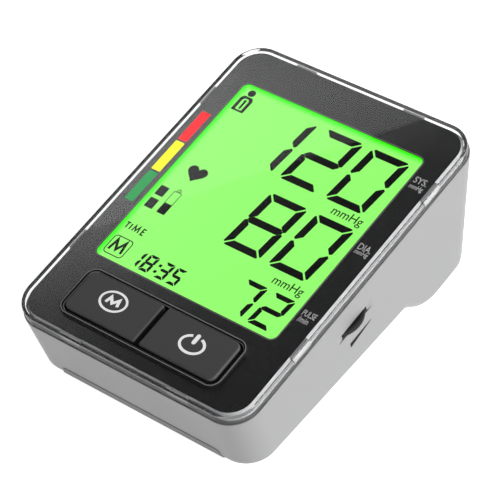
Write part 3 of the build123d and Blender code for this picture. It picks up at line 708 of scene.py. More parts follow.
@dataclass(frozen=True)
class BoardFinish:
    """Solder mask over copper tracks."""

    name: str = "board_mask"
    slot: str = "board_green"

    def material(self) -> bpy.types.Material:
        """Builds the material."""
        nodes = Nodes(self.name)
        brick = nodes.add("ShaderNodeTexBrick")
        brick.inputs["Scale"].default_value = 420.0
        brick.inputs["Mortar Size"].default_value = 0.03
        brick.inputs["Color1"].default_value = opaque(shade(22, 92, 48))
        brick.inputs["Color2"].default_value = opaque(shade(18, 82, 42))
        brick.inputs["Mortar"].default_value = opaque(shade(46, 128, 66))
        nodes.link(nodes.on_face(), brick.inputs["Vector"])
        nodes.shape("Base Color", brick.outputs["Color"])
        nodes.bump(brick.outputs["Fac"], 0.3, 0.00003)
        nodes.set(Roughness=0.3, Coat_Weight=0.4)
        return nodes.material


@dataclass(frozen=True)
class CellJacket:
    """Printed film round a battery cell: a wide dark body with a lighter band at one end."""

    name: str = "cell_film"
    slot: str = "cell_jacket"
    dark: Colour = shade(26, 30, 38)
    light: Colour = shade(168, 110, 52)
    cell_length: float = 0.0505            # metres, with the nub
    band_start: float = 0.72               # share of the cell's length where the light band begins

    def material(self) -> bpy.types.Material:
        """Builds the material."""
        nodes = Nodes(self.name)
        place = nodes.place()
        split = nodes.add("ShaderNodeSeparateXYZ")
        nodes.link(place, split.inputs[0])
        wave = nodes.math("FRACT", nodes.math("MULTIPLY", split.outputs["X"], 1 / self.cell_length))
        band = nodes.math("GREATER_THAN", wave, self.band_start)
        nodes.shape("Base Color", nodes.mixed(band, self.dark, self.light))
        rough = nodes.spread(nodes.noise(place, 300.0), 0.2, 0.32)
        nodes.shape("Roughness", rough)
        nodes.set(Metallic=0.35)
        return nodes.material


class Finishes(Enum):
    """Every finish of the monitor."""

    CASE = Moulded("case_plastic", "case_grey", shade(150, 150, 151), 0.012, 0.42, 0.05, 3000.0, 0.10)
    COVER = Clear()
    MASK = Moulded("panel_black", "panel_black", shade(33, 33, 34), 0.05, 0.14, 0.01, 4200.0, 0.0)
    FRAME = Moulded("frame_plastic", "frame_grey", shade(165, 165, 166), 0.03, 0.5, 0.08, 2400.0, 0.12)
    WELL = Moulded("well_black", "well_black", shade(10, 10, 11), 0.05, 0.55, 0.05, 2600.0, 0.05)
    # painted highlight: light grey on the black well's bevel stands in for the light lines its glossy rim
    # reflects
    PAINTED_LIP_HIGHLIGHT = Moulded("well_painted_highlight", "well_black", shade(190, 190, 192), 0.04, 0.3, 0.04, 2600.0, 0.04)
    KEY = Moulded("key_satin", "key_black", shade(98, 98, 98), 0.02, 0.62, 0.04, 5200.0, 0.16)
    SWITCH = Moulded("switch_black", "switch_black", shade(30, 30, 30), 0.05, 0.5)
    GLOW = Glow()
    DIFFUSER = Moulded("diffuser_white", "diffuser_white", shade(235, 240, 232), 0.02, 0.5)
    RUBBER = Moulded("rubber_dark", "rubber_dark", shade(48, 48, 48), 0.06, 0.7, 0.06, 1800.0, 0.2)
    BOARD = BoardFinish()
    STEEL = Moulded("bright_steel", "bright_steel", shade(196, 197, 200), 0.03, 0.28, 0.08, 900.0, 0.05, 1.0)
    WHEEL = Moulded("wheel_black", "wheel_black", shade(12, 12, 13), 0.05, 0.6, 0.06, 2600.0, 0.12)
    MAGNET = Moulded("magnet_grey", "magnet_grey", shade(58, 56, 56), 0.08, 0.55, 0.1, 1500.0, 0.2)
    SILICONE = Moulded("silicone", "silicone", shade(222, 222, 216), 0.02, 0.35)
    PORT = Moulded("port_plastic", "port_grey", shade(120, 121, 122), 0.03, 0.42)
    CONE = Moulded("cone_paper", "cone_paper", shade(44, 42, 40), 0.12, 0.9, 0.05, 1200.0, 0.4)
    FOOT = Moulded("foot_rubber", "foot_grey", shade(128, 128, 129), 0.02, 0.6, 0.06, 2600.0, 0.16)
    CELL = CellJacket()
    SEGMENT = Ink("segment_black", "panel_black", shade(8, 8, 8))
    # the last number of each ink below is painted glow: emission on printed ink, which is no lamp
    WHITE_INK = Ink("white_ink", "display_green", shade(250, 250, 250), 0.5)
    LABEL_INK = Ink("label_ink", "diffuser_white", shade(205, 205, 205), 0.05)
    OUTLINE_INK = Ink("outline_ink", "frame_grey", shade(138, 122, 136), 0.05)
    RED_INK = Ink("red_ink", "display_green", shade(246, 6, 24), 0.75)
    YELLOW_INK = Ink("yellow_ink", "display_green", shade(255, 252, 8), 0.75)
    GREEN_INK = Ink("green_ink", "display_green", shade(10, 160, 76), 0.5)


MADE: dict[str, bpy.types.Material] = {}


def made_of(finish: Finishes) -> bpy.types.Material:
    """The finish's material, built when it is first asked for."""
    if finish.name not in MADE:
        MADE[finish.name] = finish.value.material()
    return MADE[finish.name]


def dress(piece: Piece, finish: Finishes, body: str) -> None:
    """Gives a piece its finish and its body.

    Args:
        piece: the piece.
        finish: its finish.
        body: the CAD body that it rides on.
    """
    piece.data.materials.clear()
    piece.data.materials.append(made_of(finish))
    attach(piece, body)
    log.info("%s rides on %s in %s", piece.name, body, finish.value.name)


def repaint(node: str, finish: Finishes) -> None:
    """Gives a frame node its finish."""
    mesh = frame["nodes"][node].data
    mesh.materials.clear()
    mesh.materials.append(made_of(finish))
    log.info("%s is finished in %s", node, finish.value.name)


# ---------------------------------------------------------------------- repeats
class Repeats(Tree):
    """Geometry Nodes trees for what repeats, each turned into a plain mesh."""

    def __init__(self, name: str, inputs: dict[str, float]) -> None:
        """Starts a tree with named number inputs.

        Args:
            name: the tree's name.
            inputs: each input's name and value; whole numbers make integer sockets.
        """
        super().__init__(bpy.data.node_groups.new(name, "GeometryNodeTree"))
        self.values = inputs
        for key, value in inputs.items():
            kind = "NodeSocketInt" if isinstance(value, int) else "NodeSocketFloat"
            self.tree.interface.new_socket(name=key, in_out="INPUT", socket_type=kind)
        self.tree.interface.new_socket(name="Material", in_out="INPUT", socket_type="NodeSocketMaterial")
        self.tree.interface.new_socket(name="Geometry", in_out="OUTPUT", socket_type="NodeSocketGeometry")
        self.source = self.tree.nodes.new("NodeGroupInput")
        self.join = self.tree.nodes.new("GeometryNodeJoinGeometry")

    def feed(self, name: str, socket: Socket) -> None:
        """Joins one of the tree's inputs to a socket."""
        self.tree.links.new(self.source.outputs[name], socket)

    def scaled(self, name: str, factor: float) -> Socket:
        """One of the tree's inputs times a number."""
        return self.math("MULTIPLY", self.source.outputs[name], factor)

    def piece(self, name: str, place: Matrix, finish: Finishes | None = None) -> Piece:
        """Ends the tree, evaluates it and returns the result as a plain mesh piece.

        Args:
            name: the piece's name.
            place: takes the tree's millimetres to the row frame.
            finish: the material that the tree sets, if any.

        Returns:
            The piece, at the origin, with its place in its mesh.
        """
        real = self.add("GeometryNodeRealizeInstances")
        paint = self.add("GeometryNodeSetMaterial")
        out = self.add("NodeGroupOutput")
        self.link(self.join.outputs[0], real.inputs[0])
        self.link(real.outputs[0], paint.inputs["Geometry"])
        self.feed("Material", paint.inputs["Material"])
        self.link(paint.outputs[0], out.inputs[0])
        carrier = linked(name, bpy.data.meshes.new(name))
        modifier = carrier.modifiers.new("repeat", "NODES")
        modifier.node_group = self.tree
        for item in self.tree.interface.items_tree:
            if item.in_out == "INPUT" and item.name in self.values:
                modifier[item.identifier] = self.values[item.name]
            if item.in_out == "INPUT" and item.name == "Material" and finish is not None:
                modifier[item.identifier] = made_of(finish)
        bpy.context.view_layer.update()
        apply_modifiers(carrier)
        carrier.data.transform(place)
        finish_mesh(carrier.data)
        return carrier


def ring_of_bars(tree: Repeats, count: Socket | int, radius: Socket | float, bar_radius: str, depth: str,
                 sides: int) -> None:
    """Adds a ring of upright round bars to a tree.

    Args:
        tree: the tree.
        count: how many bars.
        radius: the ring's radius.
        bar_radius: the tree's input that holds a bar's radius.
        depth: the tree's input that holds a bar's length.
        sides: faces round a bar.
    """
    ring = tree.add("GeometryNodeMeshCircle")
    for value, socket in ((count, ring.inputs["Vertices"]), (radius, ring.inputs["Radius"])):
        if isinstance(value, Socket):
            tree.link(value, socket)
        else:
            socket.default_value = value
    bar = tree.add("GeometryNodeMeshCylinder")
    bar.inputs["Vertices"].default_value = sides
    tree.feed(bar_radius, bar.inputs["Radius"])
    tree.feed(depth, bar.inputs["Depth"])
    spread = tree.add("GeometryNodeInstanceOnPoints")
    tree.link(ring.outputs[0], spread.inputs["Points"])
    tree.link(bar.outputs[0], spread.inputs["Instance"])
    tree.link(spread.outputs[0], tree.join.inputs[0])


# ---------------------------------------------------------------------- case
@dataclass
class CaseShell:
    """The grey case under the clear cover: a slab with a battery hump, one moulded shell."""

    side_steps: int = 110
    corner_steps: int = 18
    wall_rows: int = 10
    round_rows: int = 8
    under_rows: int = 5
    spine_rows: int = 16
    core_inset: float = 12.0
    core_drop: float = 5.0
    lip: float = 0.35              # rounding of the edge at the seam
    wheel_gap: float = 0.4
    scoop_half_length: float = 11.5
    scoop_depth: float = 1.0
    slip: float = 0.3
    door_half_width: float = 47.2
    door_back: float = 136.6
    door_angle: float = radians(-125.0)
    hinge_radius: float = 1.3
    bay_ceiling: float = 37.6
    screw_places: tuple[Flat, ...] = ((45.0, 9.0), (-45.0, 9.0), (52.2, 90.0), (-52.2, 90.0))
    screw_head: float = 2.9
    screw_shank: float = 1.5
    screw_recess: float = 2.4
    grille_place: Flat = (20.0, 32.0)
    grille_pitch: float = 3.4
    grille_rings: int = 3
    grille_hole: float = 0.8
    port_y: float = 60.0
    port_depth: float = 24.0
    port_radius: float = 5.1
    port_collar: float = 6.6
    port_collar_depth: float = 0.9
    socket_y: float = 38.0
    socket_depth: float = 22.0
    socket_size: Flat = (9.2, 3.4)
    punch_length: float = 9.0
    wheel_room: float = 0.5        # round the wheel's edge in its slot
    before: float = -40.0          # where the underside's outline starts, ahead of the case
    arc_steps: int = 40
    lip_rows: int = 4
    search_reach: float = 1.25     # how far past its target a point of the wall is sought
    halvings: int = 34
    cut_outside: float = 70.0      # cutters reach out to here
    cut_inside: float = 50.0       # and side cutters in to here
    screw_top: float = -20.0
    profile: tuple[np.ndarray, np.ndarray] = field(default=(), init=False)

    # ---- side view
    def lines(self) -> list[Line]:
        """Floor, ramp, hump bottom and back wall of the side view, each as (y, z, angle)."""
        floor = (0.0, -FORM.slab_depth, -atan(FORM.slab_slope))
        ramp = (FORM.hump_start, FORM.floor_height(FORM.hump_start), -FORM.hump_ramp)
        bottom = (0.0, -FORM.hump_depth, 0.0)
        back = (FORM.panel_length + FORM.case_margin, -FORM.skirt_depth, pi / 2 - FORM.back_lean)
        return [floor, ramp, bottom, back]

    @staticmethod
    def meet(first: Line, second: Line) -> Flat:
        """Where two lines of the side view cross."""
        y1, z1, a = first
        y2, z2, b = second
        step = ((y2 - y1) * sin(b) - (z2 - z1) * cos(b)) / sin(b - a)
        return y1 + step * cos(a), z1 + step * sin(a)

    def arc(self, first: Line, second: Line, radius: float) -> tuple[Flat, list[Flat]]:
        """The arc that joins two lines of the side view.

        Args:
            first: the line that it leaves.
            second: the line that it joins.
            radius: its radius.

        Returns:
            Its centre and its points.
        """
        side = 1.0 if sin(second[2] - first[2]) > 0 else -1.0
        moved = []
        for y, z, angle in (first, second):
            moved.append((y - sin(angle) * radius * side, z + cos(angle) * radius * side, angle))
        centre = self.meet(*moved)
        start = first[2] - side * pi / 2
        end = second[2] - side * pi / 2
        turns = np.linspace(start, end, self.arc_steps)
        return centre, [(centre[0] + radius * cos(t), centre[1] + radius * sin(t)) for t in turns]

    def trace_profile(self) -> None:
        """Works out the underside's height along y."""
        floor, ramp, bottom, back = self.lines()
        points = [(self.before, FORM.floor_height(self.before))]
        points += self.arc(floor, ramp, FORM.blend_start)[1]
        points += self.arc(ramp, bottom, FORM.blend_front)[1]
        points += self.arc(bottom, back, FORM.blend_back)[1]
        points.append(self.meet(back, (0.0, 20.0, 0.0)))
        self.profile = (np.array([p[0] for p in points]), np.array([p[1] for p in points]))

    def under(self, y: np.ndarray) -> np.ndarray:
        """Height of the underside."""
        return np.interp(y, *self.profile)

    def hinge(self) -> Flat:
        """(y, z) of the battery door's hinge."""
        _, ramp, bottom, _ = self.lines()
        centre = self.arc(ramp, bottom, FORM.blend_front)[0]
        reach = FORM.blend_front - self.hinge_radius
        return centre[0] + reach * cos(self.door_angle), centre[1] + reach * sin(self.door_angle)

    # ---- plan
    def plan(self, z: np.ndarray) -> tuple[np.ndarray, np.ndarray, np.ndarray]:
        """Half width, front and back of the case's outline at a height.

        Args:
            z: the height, one or many.

        Returns:
            Half the width, then y of the front and y of the back.
        """
        drop = -FORM.skirt_depth - z
        half = FORM.side_x(z)
        front = -FORM.case_margin + drop * tan(FORM.front_draft)
        back = FORM.panel_length + FORM.case_margin - drop * tan(FORM.back_lean)
        return half, front, back

    def stations(self) -> tuple[np.ndarray, np.ndarray, np.ndarray]:
        """For each point round the outline: its share along the sides in x and y, and its outward normal."""
        corner = (FORM.case_corner,)
        size = 100.0
        base = rounded_rectangle(size, size, corner, 0, 0, self.side_steps, self.corner_steps)
        straight = size / 2 - FORM.case_corner
        share_x = np.array([np.clip(x / straight, -1, 1) for x, _ in base])
        share_y = np.array([np.clip(y / straight, -1, 1) for _, y in base])
        normal = []
        for x, y in base:
            nx = x - np.clip(x, -straight, straight)
            ny = y - np.clip(y, -straight, straight)
            length = hypot(nx, ny)
            normal.append((nx / length, ny / length))
        return share_x, share_y, np.array(normal)

    def wall(self, z: np.ndarray, inset: float) -> np.ndarray:
        """Points of the drafted wall for each station.

        Args:
            z: their height, one for all or one each.
            inset: how far they are moved in.

        Returns:
            One (x, y, z) for each station.
        """
        share_x, share_y, normal = self.stations()
        half, front, back = self.plan(z)
        corner = FORM.case_corner
        x = share_x * (half - corner) + normal[:, 0] * (corner - inset)
        y = (front + back) / 2 + share_y * ((back - front) / 2 - corner) + normal[:, 1] * (corner - inset)
        return np.stack([x, y, np.broadcast_to(z, x.shape)], -1)

    def outside(self, p: np.ndarray) -> np.ndarray:
        """Signed distance outside the case, with its lower edge rounded.

        The wall and the underside are each moved in by the edge's radius. Near their corner, the distance is
        to the ball that touches both.

        Args:
            p: (x, y, z) points.

        Returns:
            One distance for each point, below zero inside.
        """
        x, y, z = p[..., 0], p[..., 1], p[..., 2]
        half, front, back = self.plan(z)
        corner = FORM.case_corner
        qx = np.abs(x) - (half - corner)
        middle = (front + back) / 2
        qy = np.abs(y - middle) - ((back - front) / 2 - corner)
        reach = np.hypot(np.maximum(qx, 0), np.maximum(qy, 0))
        plan_distance = reach + np.minimum(np.maximum(qx, qy), 0) - corner
        tiny = 1e-9
        safe = np.maximum(reach, tiny)
        along_x = np.where(reach > tiny, np.maximum(qx, 0) / safe, (qx > qy) * 1.0)
        along_y = np.where(reach > tiny, np.maximum(qy, 0) / safe, (qx <= qy) * 1.0)
        lean_y = np.where(y > middle, tan(FORM.back_lean), tan(FORM.front_draft))
        lean = along_x * tan(FORM.side_draft) + along_y * lean_y
        size = np.sqrt(1 + lean ** 2)
        step = 0.02
        rise = (self.under(y + step) - self.under(y - step)) / (2 * step)
        steep = np.sqrt(1 + rise ** 2)
        a = plan_distance / size
        b = (self.under(y) - z) / steep
        ny = along_y * np.sign(y - middle)
        c = np.clip((ny * rise + lean) / (size * steep), -0.9, 0.99999)
        r = FORM.edge_round
        first, second = a + r, b + r
        alpha = first - c * second
        beta = second - c * first
        ball = np.sqrt(np.maximum(first ** 2 + second ** 2 - 2 * c * first * second, 0) / (1 - c ** 2)) - r
        return np.where(alpha <= 0, b, np.where(beta <= 0, a, ball))

    def edge_heights(self) -> np.ndarray:
        """Height at which each station's wall meets the underside."""
        highest, lowest, count = -FORM.skirt_depth - 4.0, -60.0, 700
        levels = np.linspace(highest, lowest, count)
        edge = np.full(len(self.stations()[0]), levels[-1])
        found = np.zeros(len(edge), bool)
        for z in levels:
            p = self.wall(z, 0.0)
            below = (self.under(p[:, 1]) - z) > 0.01
            fresh = below & ~found
            edge[fresh] = z
            found |= below
        return edge

    def rows(self) -> list[np.ndarray]:
        """Rings of points from the seam down the wall, round the lower edge and in to the spine."""
        seam = -FORM.skirt_depth
        edge = self.edge_heights()
        normal = self.stations()[2]
        r = FORM.edge_round
        targets = []
        for k in range(1, self.wall_rows + 1):
            z = seam - self.lip + (edge + r - seam + self.lip) * k / self.wall_rows
            targets.append(self.wall(z, 0.0))
        for k in range(1, self.round_rows + 1):
            targets.append(self.wall(edge + r * (1 - k / self.round_rows), 0.0))
        corner = self.wall(edge, 0.0)
        insets = [r * k / self.round_rows for k in range(1, self.round_rows + 1)]
        insets += list(np.linspace(r, self.core_inset, self.under_rows + 1)[1:])
        for inset in insets:
            p = corner.copy()
            p[:, :2] -= normal * inset
            p[:, 2] = self.under(p[:, 1])
            targets.append(p)
        core = self.wall(np.full(len(edge), seam - self.core_drop), self.core_inset)
        rows = []
        for k in range(self.lip_rows):
            turn = pi / 2 * k / (self.lip_rows - 1)
            rows.append(self.wall(seam - self.lip * (1 - cos(turn)), self.lip * (1 - sin(turn))))
        for target in targets:
            low = np.zeros(len(edge))
            high = np.full(len(edge), self.search_reach)
            for _ in range(self.halvings):
                middle = (low + high) / 2
                out = self.outside(core + (target - core) * middle[:, None]) > 0
                high = np.where(out, middle, high)
                low = np.where(out, low, middle)
            rows.append(core + (target - core) * ((low + high) / 2)[:, None])
        ring = rows[-1]
        half, front, back = self.plan(np.array(self.before))
        spine_y = np.clip(ring[:, 1], front + half, back - half)
        for k in range(1, self.spine_rows + 1):
            share = k / self.spine_rows
            x = ring[:, 0] * (1 - share)
            y = ring[:, 1] * (1 - share) + spine_y * share
            rows.append(np.stack([x, y, self.under(y)], -1))
        return rows

    # ---- openings
    def across(self, name: str, outline: list[Flat], x0: float, x1: float) -> Piece:
        """A cutter whose (y, z) outline runs across the case."""
        points = [(x0, y, z) for y, z in outline] + [(x1, y, z) for y, z in outline]
        return new_piece(name, points, ring_faces(2, len(outline), True, True))

    def door_outline(self) -> list[Flat]:
        """(y, z) outline of the space for the battery door."""
        hy, hz = self.hinge()
        way = (cos(self.door_angle), sin(self.door_angle))
        low, top = -66.0, -self.bay_ceiling - 4
        down = (low - hz) / way[1]
        up = (top - hz) / way[1]
        end = self.door_back + self.slip
        return [(hy + down * way[0], low), (end, low), (end, top), (hy + up * way[0], top)]

    @staticmethod
    def drill(name: str, radius: float, start: Point, end: Point, sides: int = 48) -> Piece:
        """A round cutter from one point to another."""
        return joined(name, [round_bar(radius, start, end, sides)])

    def wheel_cutters(self) -> list[Piece]:
        """The slot for the volume wheel and the finger scoop beside it."""
        low = -FORM.wheel_depth - FORM.wheel_thickness / 2 - self.wheel_gap
        high = low + FORM.wheel_thickness + 2 * self.wheel_gap
        x, y = FORM.wheel_x(), FORM.wheel_y
        slot = self.drill("wheel_slot", FORM.wheel_radius + self.wheel_room, (x, y, low), (x, y, high), 120)
        radius = (self.scoop_half_length ** 2 + self.scoop_depth ** 2) / (2 * self.scoop_depth)
        x = FORM.side_x(-FORM.wheel_depth) + radius - self.scoop_depth
        return [slot, self.drill("wheel_scoop", radius, (x, y, low), (x, y, high), 400)]

    def door_cutters(self) -> list[Piece]:
        """The battery door's opening and the room round its hinge."""
        half = self.door_half_width + self.slip
        hy, hz = self.hinge()
        return [self.across("door_opening", self.door_outline(), -half, half),
                self.drill("hinge_room", self.hinge_radius + self.slip, (-half, hy, hz), (half, hy, hz))]

    def screw_cutters(self) -> list[Piece]:
        """A recess and a hole for each case screw."""
        made = []
        for number, (x, y) in enumerate(self.screw_places):
            below = (x, y, -self.cut_outside)
            seat = (x, y, FORM.floor_height(y) + self.screw_recess)
            made.append(self.drill(f"screw_recess_{number}", self.screw_head, below, seat))
            made.append(self.drill(f"screw_hole_{number}", self.screw_shank, below, (x, y, self.screw_top)))
        return made

    def side_cutters(self) -> list[Piece]:
        """The left wall's openings for the air port and the power socket."""
        y, z = self.port_y, -self.port_depth
        outside = (-self.cut_outside, y, z)
        seat = (-FORM.side_x(z) + self.port_collar_depth, y, z)
        size = self.socket_size
        slot = rounded_rectangle(*size, (size[1] / 2 - 0.01,), self.socket_y, -self.socket_depth)
        return [self.drill("port_hole", self.port_radius, outside, (-self.cut_inside, y, z), 96),
                self.drill("port_seat", self.port_collar, outside, seat, 96),
                self.across("socket_hole", slot, -self.cut_outside, -self.cut_inside)]

    def grille(self) -> Piece:
        """Rings of round bars that punch the sound holes."""
        tree = Repeats("sound_hole_punches", {"Hole": self.grille_hole, "Pitch": self.grille_pitch,
                                              "Depth": self.punch_length})
        for ring in range(1, self.grille_rings + 1):
            ring_of_bars(tree, 6 * ring, tree.scaled("Pitch", float(ring)), "Hole", "Depth", 20)
        middle = tree.add("GeometryNodeMeshCylinder")
        middle.inputs["Vertices"].default_value = 20
        tree.feed("Hole", middle.inputs["Radius"])
        tree.feed("Depth", middle.inputs["Depth"])
        tree.link(middle.outputs[0], tree.join.inputs[0])
        x, y = self.grille_place
        slope = Matrix.Rotation(-atan(FORM.slab_slope), 4, "X")
        seat = Matrix.Translation((x, y, FORM.floor_height(y))) @ slope
        return tree.piece("sound_holes", FACE.matrix() @ seat)

    def build(self) -> None:
        """Makes the shell and opens it."""
        self.trace_profile()
        rows = self.rows()
        count = len(rows[0])
        points = [tuple(p) for row in rows for p in row]
        shell = new_piece("case_shell", points, ring_faces(len(rows), count, False, False))
        wall = shell.modifiers.new("wall", "SOLIDIFY")
        wall.thickness = FORM.case_wall * MM
        wall.offset = -1.0
        wall.use_even_offset = True
        apply_modifiers(shell)
        finish_mesh(shell.data, recalculate=False)
        for cutters in (self.wheel_cutters, self.door_cutters, self.screw_cutters, self.side_cutters):
            for cutter in cutters():
                cut(shell, cutter)
        cut(shell, self.grille())
        settle_normals(shell)
        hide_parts("bottom_case")
        dress(shell, Finishes.CASE, "case")


# ---------------------------------------------------------------------- cover and panel
@dataclass
class ClearCover:
    """The clear lid over the whole face, with a round edge, a skirt and an opening for the keys."""

    lift: float = 0.05             # room between the cover and the ink below it
    rim_gap: float = 0.1
    foot: float = 0.12             # chamfer at the skirt's lower edge
    inner_chamfer: float = 0.25    # where the skirt meets the plate, inside
    steps: int = 8

    def ring(self, inset: float, z: float) -> list[Point]:
        """The cover's outline moved in by an inset."""
        width = FORM.panel_width + 2 * (FORM.cover_margin - inset)
        length = FORM.panel_length + 2 * (FORM.cover_margin - inset)
        corner = (FORM.cover_corner - inset,)
        return at_height(rounded_rectangle(width, length, corner, 0, FORM.panel_length / 2, 4, 20), z)

    def build(self) -> None:
        """Makes the cover."""
        seam = -FORM.skirt_depth
        wall = FORM.skirt_wall
        bevel = self.inner_chamfer
        rings = [self.ring(wall + bevel, self.lift), self.ring(wall, self.lift - bevel), self.ring(wall, seam)]
        rings += [self.ring(self.foot, seam), self.ring(0, seam + self.foot)]
        for k in range(self.steps + 1):
            turn = pi / 2 * k / self.steps
            edge = FORM.cover_edge
            rings.append(self.ring(edge * (1 - cos(turn)), FORM.cover_plate - edge * (1 - sin(turn))))
        cover = lofted("cover_lens", rings)
        rim_x, rim_y = FORM.rim()
        gap = self.rim_gap
        corner = (FORM.well_corner + gap,)
        outline = rounded_rectangle(rim_x + 2 * gap, rim_y + 2 * gap, corner, 0, FORM.key_centre)
        cut(cover, joined("key_opening", [prism(outline, -5, 5)]))
        settle_normals(cover)
        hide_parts("clear_cover")
        dress(cover, Finishes.COVER, "case")


def letters(text: str, box: Box, z: float, thickness: float, weight: float) -> Solid:
    """Lettering fitted into a box on the face.

    Args:
        text: what it says.
        box: low x, low y, high x, high y.
        z: height of the lettering's foot.
        thickness: how far it stands up.
        weight: how much the strokes are fattened, as a share of the letter size.

    Returns:
        Its points and faces on the face, in millimetres.
    """
    curve = bpy.data.curves.new("lettering", "FONT")
    curve.body = text
    half = 0.5
    curve.extrude = half
    curve.offset = weight
    curve.resolution_u = 3
    holder = linked("lettering", curve)
    graph = bpy.context.evaluated_depsgraph_get()
    mesh = bpy.data.meshes.new_from_object(holder.evaluated_get(graph))
    points = [(v.co.x, v.co.y, v.co.z + half) for v in mesh.vertices]
    faces = [tuple(f.vertices) for f in mesh.polygons]
    bpy.data.objects.remove(holder)
    bpy.data.curves.remove(curve)
    bpy.data.meshes.remove(mesh)
    low = [min(p[i] for p in points) for i in (0, 1)]
    high = [max(p[i] for p in points) for i in (0, 1)]
    grow = [(box[i + 2] - box[i]) / (high[i] - low[i]) for i in (0, 1)]
    placed = []
    for x, y, height in points:
        across, along = box[0] + (x - low[0]) * grow[0], box[1] + (y - low[1]) * grow[1]
        placed.append((across, along, z + height * thickness))
    return placed, faces


def stroke(points: list[Flat], width: float) -> list[Flat]:
    """Outline of a pen stroke of even width along a bent line, with mitred bends.

    Args:
        points: the line's points.
        width: the pen's width.

    Returns:
        The outline's points.
    """
    sharpest = 0.3    # a bend's mitre reaches no further than the half width over this
    left, right = [], []
    last = len(points) - 1
    for k, (x, y) in enumerate(points):
        ways = []
        for a, b in ((k - 1, k), (k, k + 1)):
            if a >= 0 and b <= last:
                way = Vector(points[b]) - Vector(points[a])
                ways.append(way.normalized())
        along = sum(ways, Vector((0.0, 0.0))).normalized()
        across = Vector((-along.y, along.x))
        reach = width / 2 / max(sharpest, across.dot(Vector((-ways[0].y, ways[0].x))))
        left.append((x + across.x * reach, y + across.y * reach))
        right.append((x - across.x * reach, y - across.y * reach))
    return left + right[::-1]


STROKES = {
    "T": [[(0.0, 1.0), (1.0, 1.0)], [(0.5, 1.0), (0.5, 0.0)]],
    "I": [[(0.5, 0.0), (0.5, 1.0)]],
    "M": [[(0.0, 0.0), (0.14, 1.0), (0.5, 0.18), (0.86, 1.0), (1.0, 0.0)]],
    "E": [[(0.9, 1.0), (0.05, 1.0), (0.05, 0.0), (0.9, 0.0)], [(0.05, 0.52), (0.8, 0.52)]],
}


def penned(letter: str, box: Box, width: float, z: float, thickness: float) -> list:
    """A letter drawn with a pen in a box on the face.

    Args:
        letter: which letter.
        box: low x, low y, high x, high y.
        width: the pen's width.
        z: height of its foot.
        thickness: how far it stands up; each later stroke stands a tenth lower.

    Returns:
        Points and faces of each stroke.
    """
    parts = []
    half = width / 2
    for number, line in enumerate(STROKES[letter]):
        placed = []
        for x, y in line:
            px = box[0] + half + x * (box[2] - box[0] - width)
            py = box[1] + half + y * (box[3] - box[1] - width)
            placed.append((px, py))
        parts.append(prism(stroke(placed, width), z, z + thickness * (1 - 0.1 * number)))
    return parts


def frame_outline(outer: list[Flat], inner: list[Flat], low: float, high: float) -> Solid:
    """Points and faces of the flat band between two matching outlines.

    Args:
        outer: the outline outside.
        inner: the outline inside, with as many points.
        low: height of its foot.
        high: height of its top.

    Returns:
        Its points and faces.
    """
    count = len(outer)
    points = at_height(outer, low) + at_height(outer, high) + at_height(inner, high) + at_height(inner, low)
    faces = ring_faces(4, count, False, False)
    for k in range(count):
        after = (k + 1) % count
        faces.append((3 * count + k, 3 * count + after, after, k))
    return points, faces


@dataclass
class FacePanel:
    """The printed face: black mask, window outline, pressure bars and labels."""

    ink: float = 0.03
    bar_left: float = -51.95
    bar_width: float = 4.35
    bar_length: float = 16.5
    bar_gap: float = 1.0
    bar_front: float = 63.2
    label_left: float = 47.0
    label_right: float = 53.2
    outline_gap: float = 0.25
    outline_width: float = 0.32
    label_weight: float = 0.012

    def bars(self) -> None:
        """Green, yellow and red bars beside the window."""
        finishes = (("bar_green", Finishes.GREEN_INK), ("bar_yellow", Finishes.YELLOW_INK),
                    ("bar_red", Finishes.RED_INK))
        for number, (name, finish) in enumerate(finishes):
            low = self.bar_front + number * (self.bar_length + self.bar_gap)
            centre = (self.bar_left + self.bar_width / 2, low + self.bar_length / 2)
            outline = rounded_rectangle(self.bar_width, self.bar_length, (0.15,), *centre, 1, 3)
            dress(joined(name, [prism(outline, 0, self.ink)]), finish, "case")

    def labels(self) -> None:
        """Names and units printed beside the three readings."""
        rows = (("SYS.", 124.0, 3.2), ("mmHg", 120.4, 2.9), ("DIA.", 86.6, 3.2), ("mmHg", 83.9, 2.7),
                ("PULSE", 50.8, 2.8), ("/min", 47.7, 2.7))
        parts = []
        for text, low, height in rows:
            right = self.label_right if text != "/min" else self.label_right - 1.4
            box = (self.label_left, low, right, low + height)
            parts.append(letters(text, box, 0.0, self.ink, self.label_weight))
        dress(joined("reading_labels", parts), Finishes.LABEL_INK, "case")

    def outline(self) -> None:
        """Fine line round the display window."""
        grown = []
        for grow in (self.outline_gap + self.outline_width, self.outline_gap):
            grown.append(rounded_rectangle(FORM.window_width + 2 * grow, FORM.window_length + 2 * grow,
                                           (FORM.window_corner + grow,), 0, FORM.window_centre))
        dress(joined("window_outline", [frame_outline(*grown, 0.0, self.ink)]), Finishes.OUTLINE_INK, "case")

    def build(self) -> None:
        """Makes the printed face."""
        dress(from_cad("black_face", "face_mask"), Finishes.MASK, "case")
        self.bars()
        self.labels()
        self.outline()


# ---------------------------------------------------------------------- display
SEGMENTS = {"0": "abcdef", "1": "bc", "2": "abged", "3": "abgcd", "5": "afgcd", "7": "abc", "8": "abcdefg"}


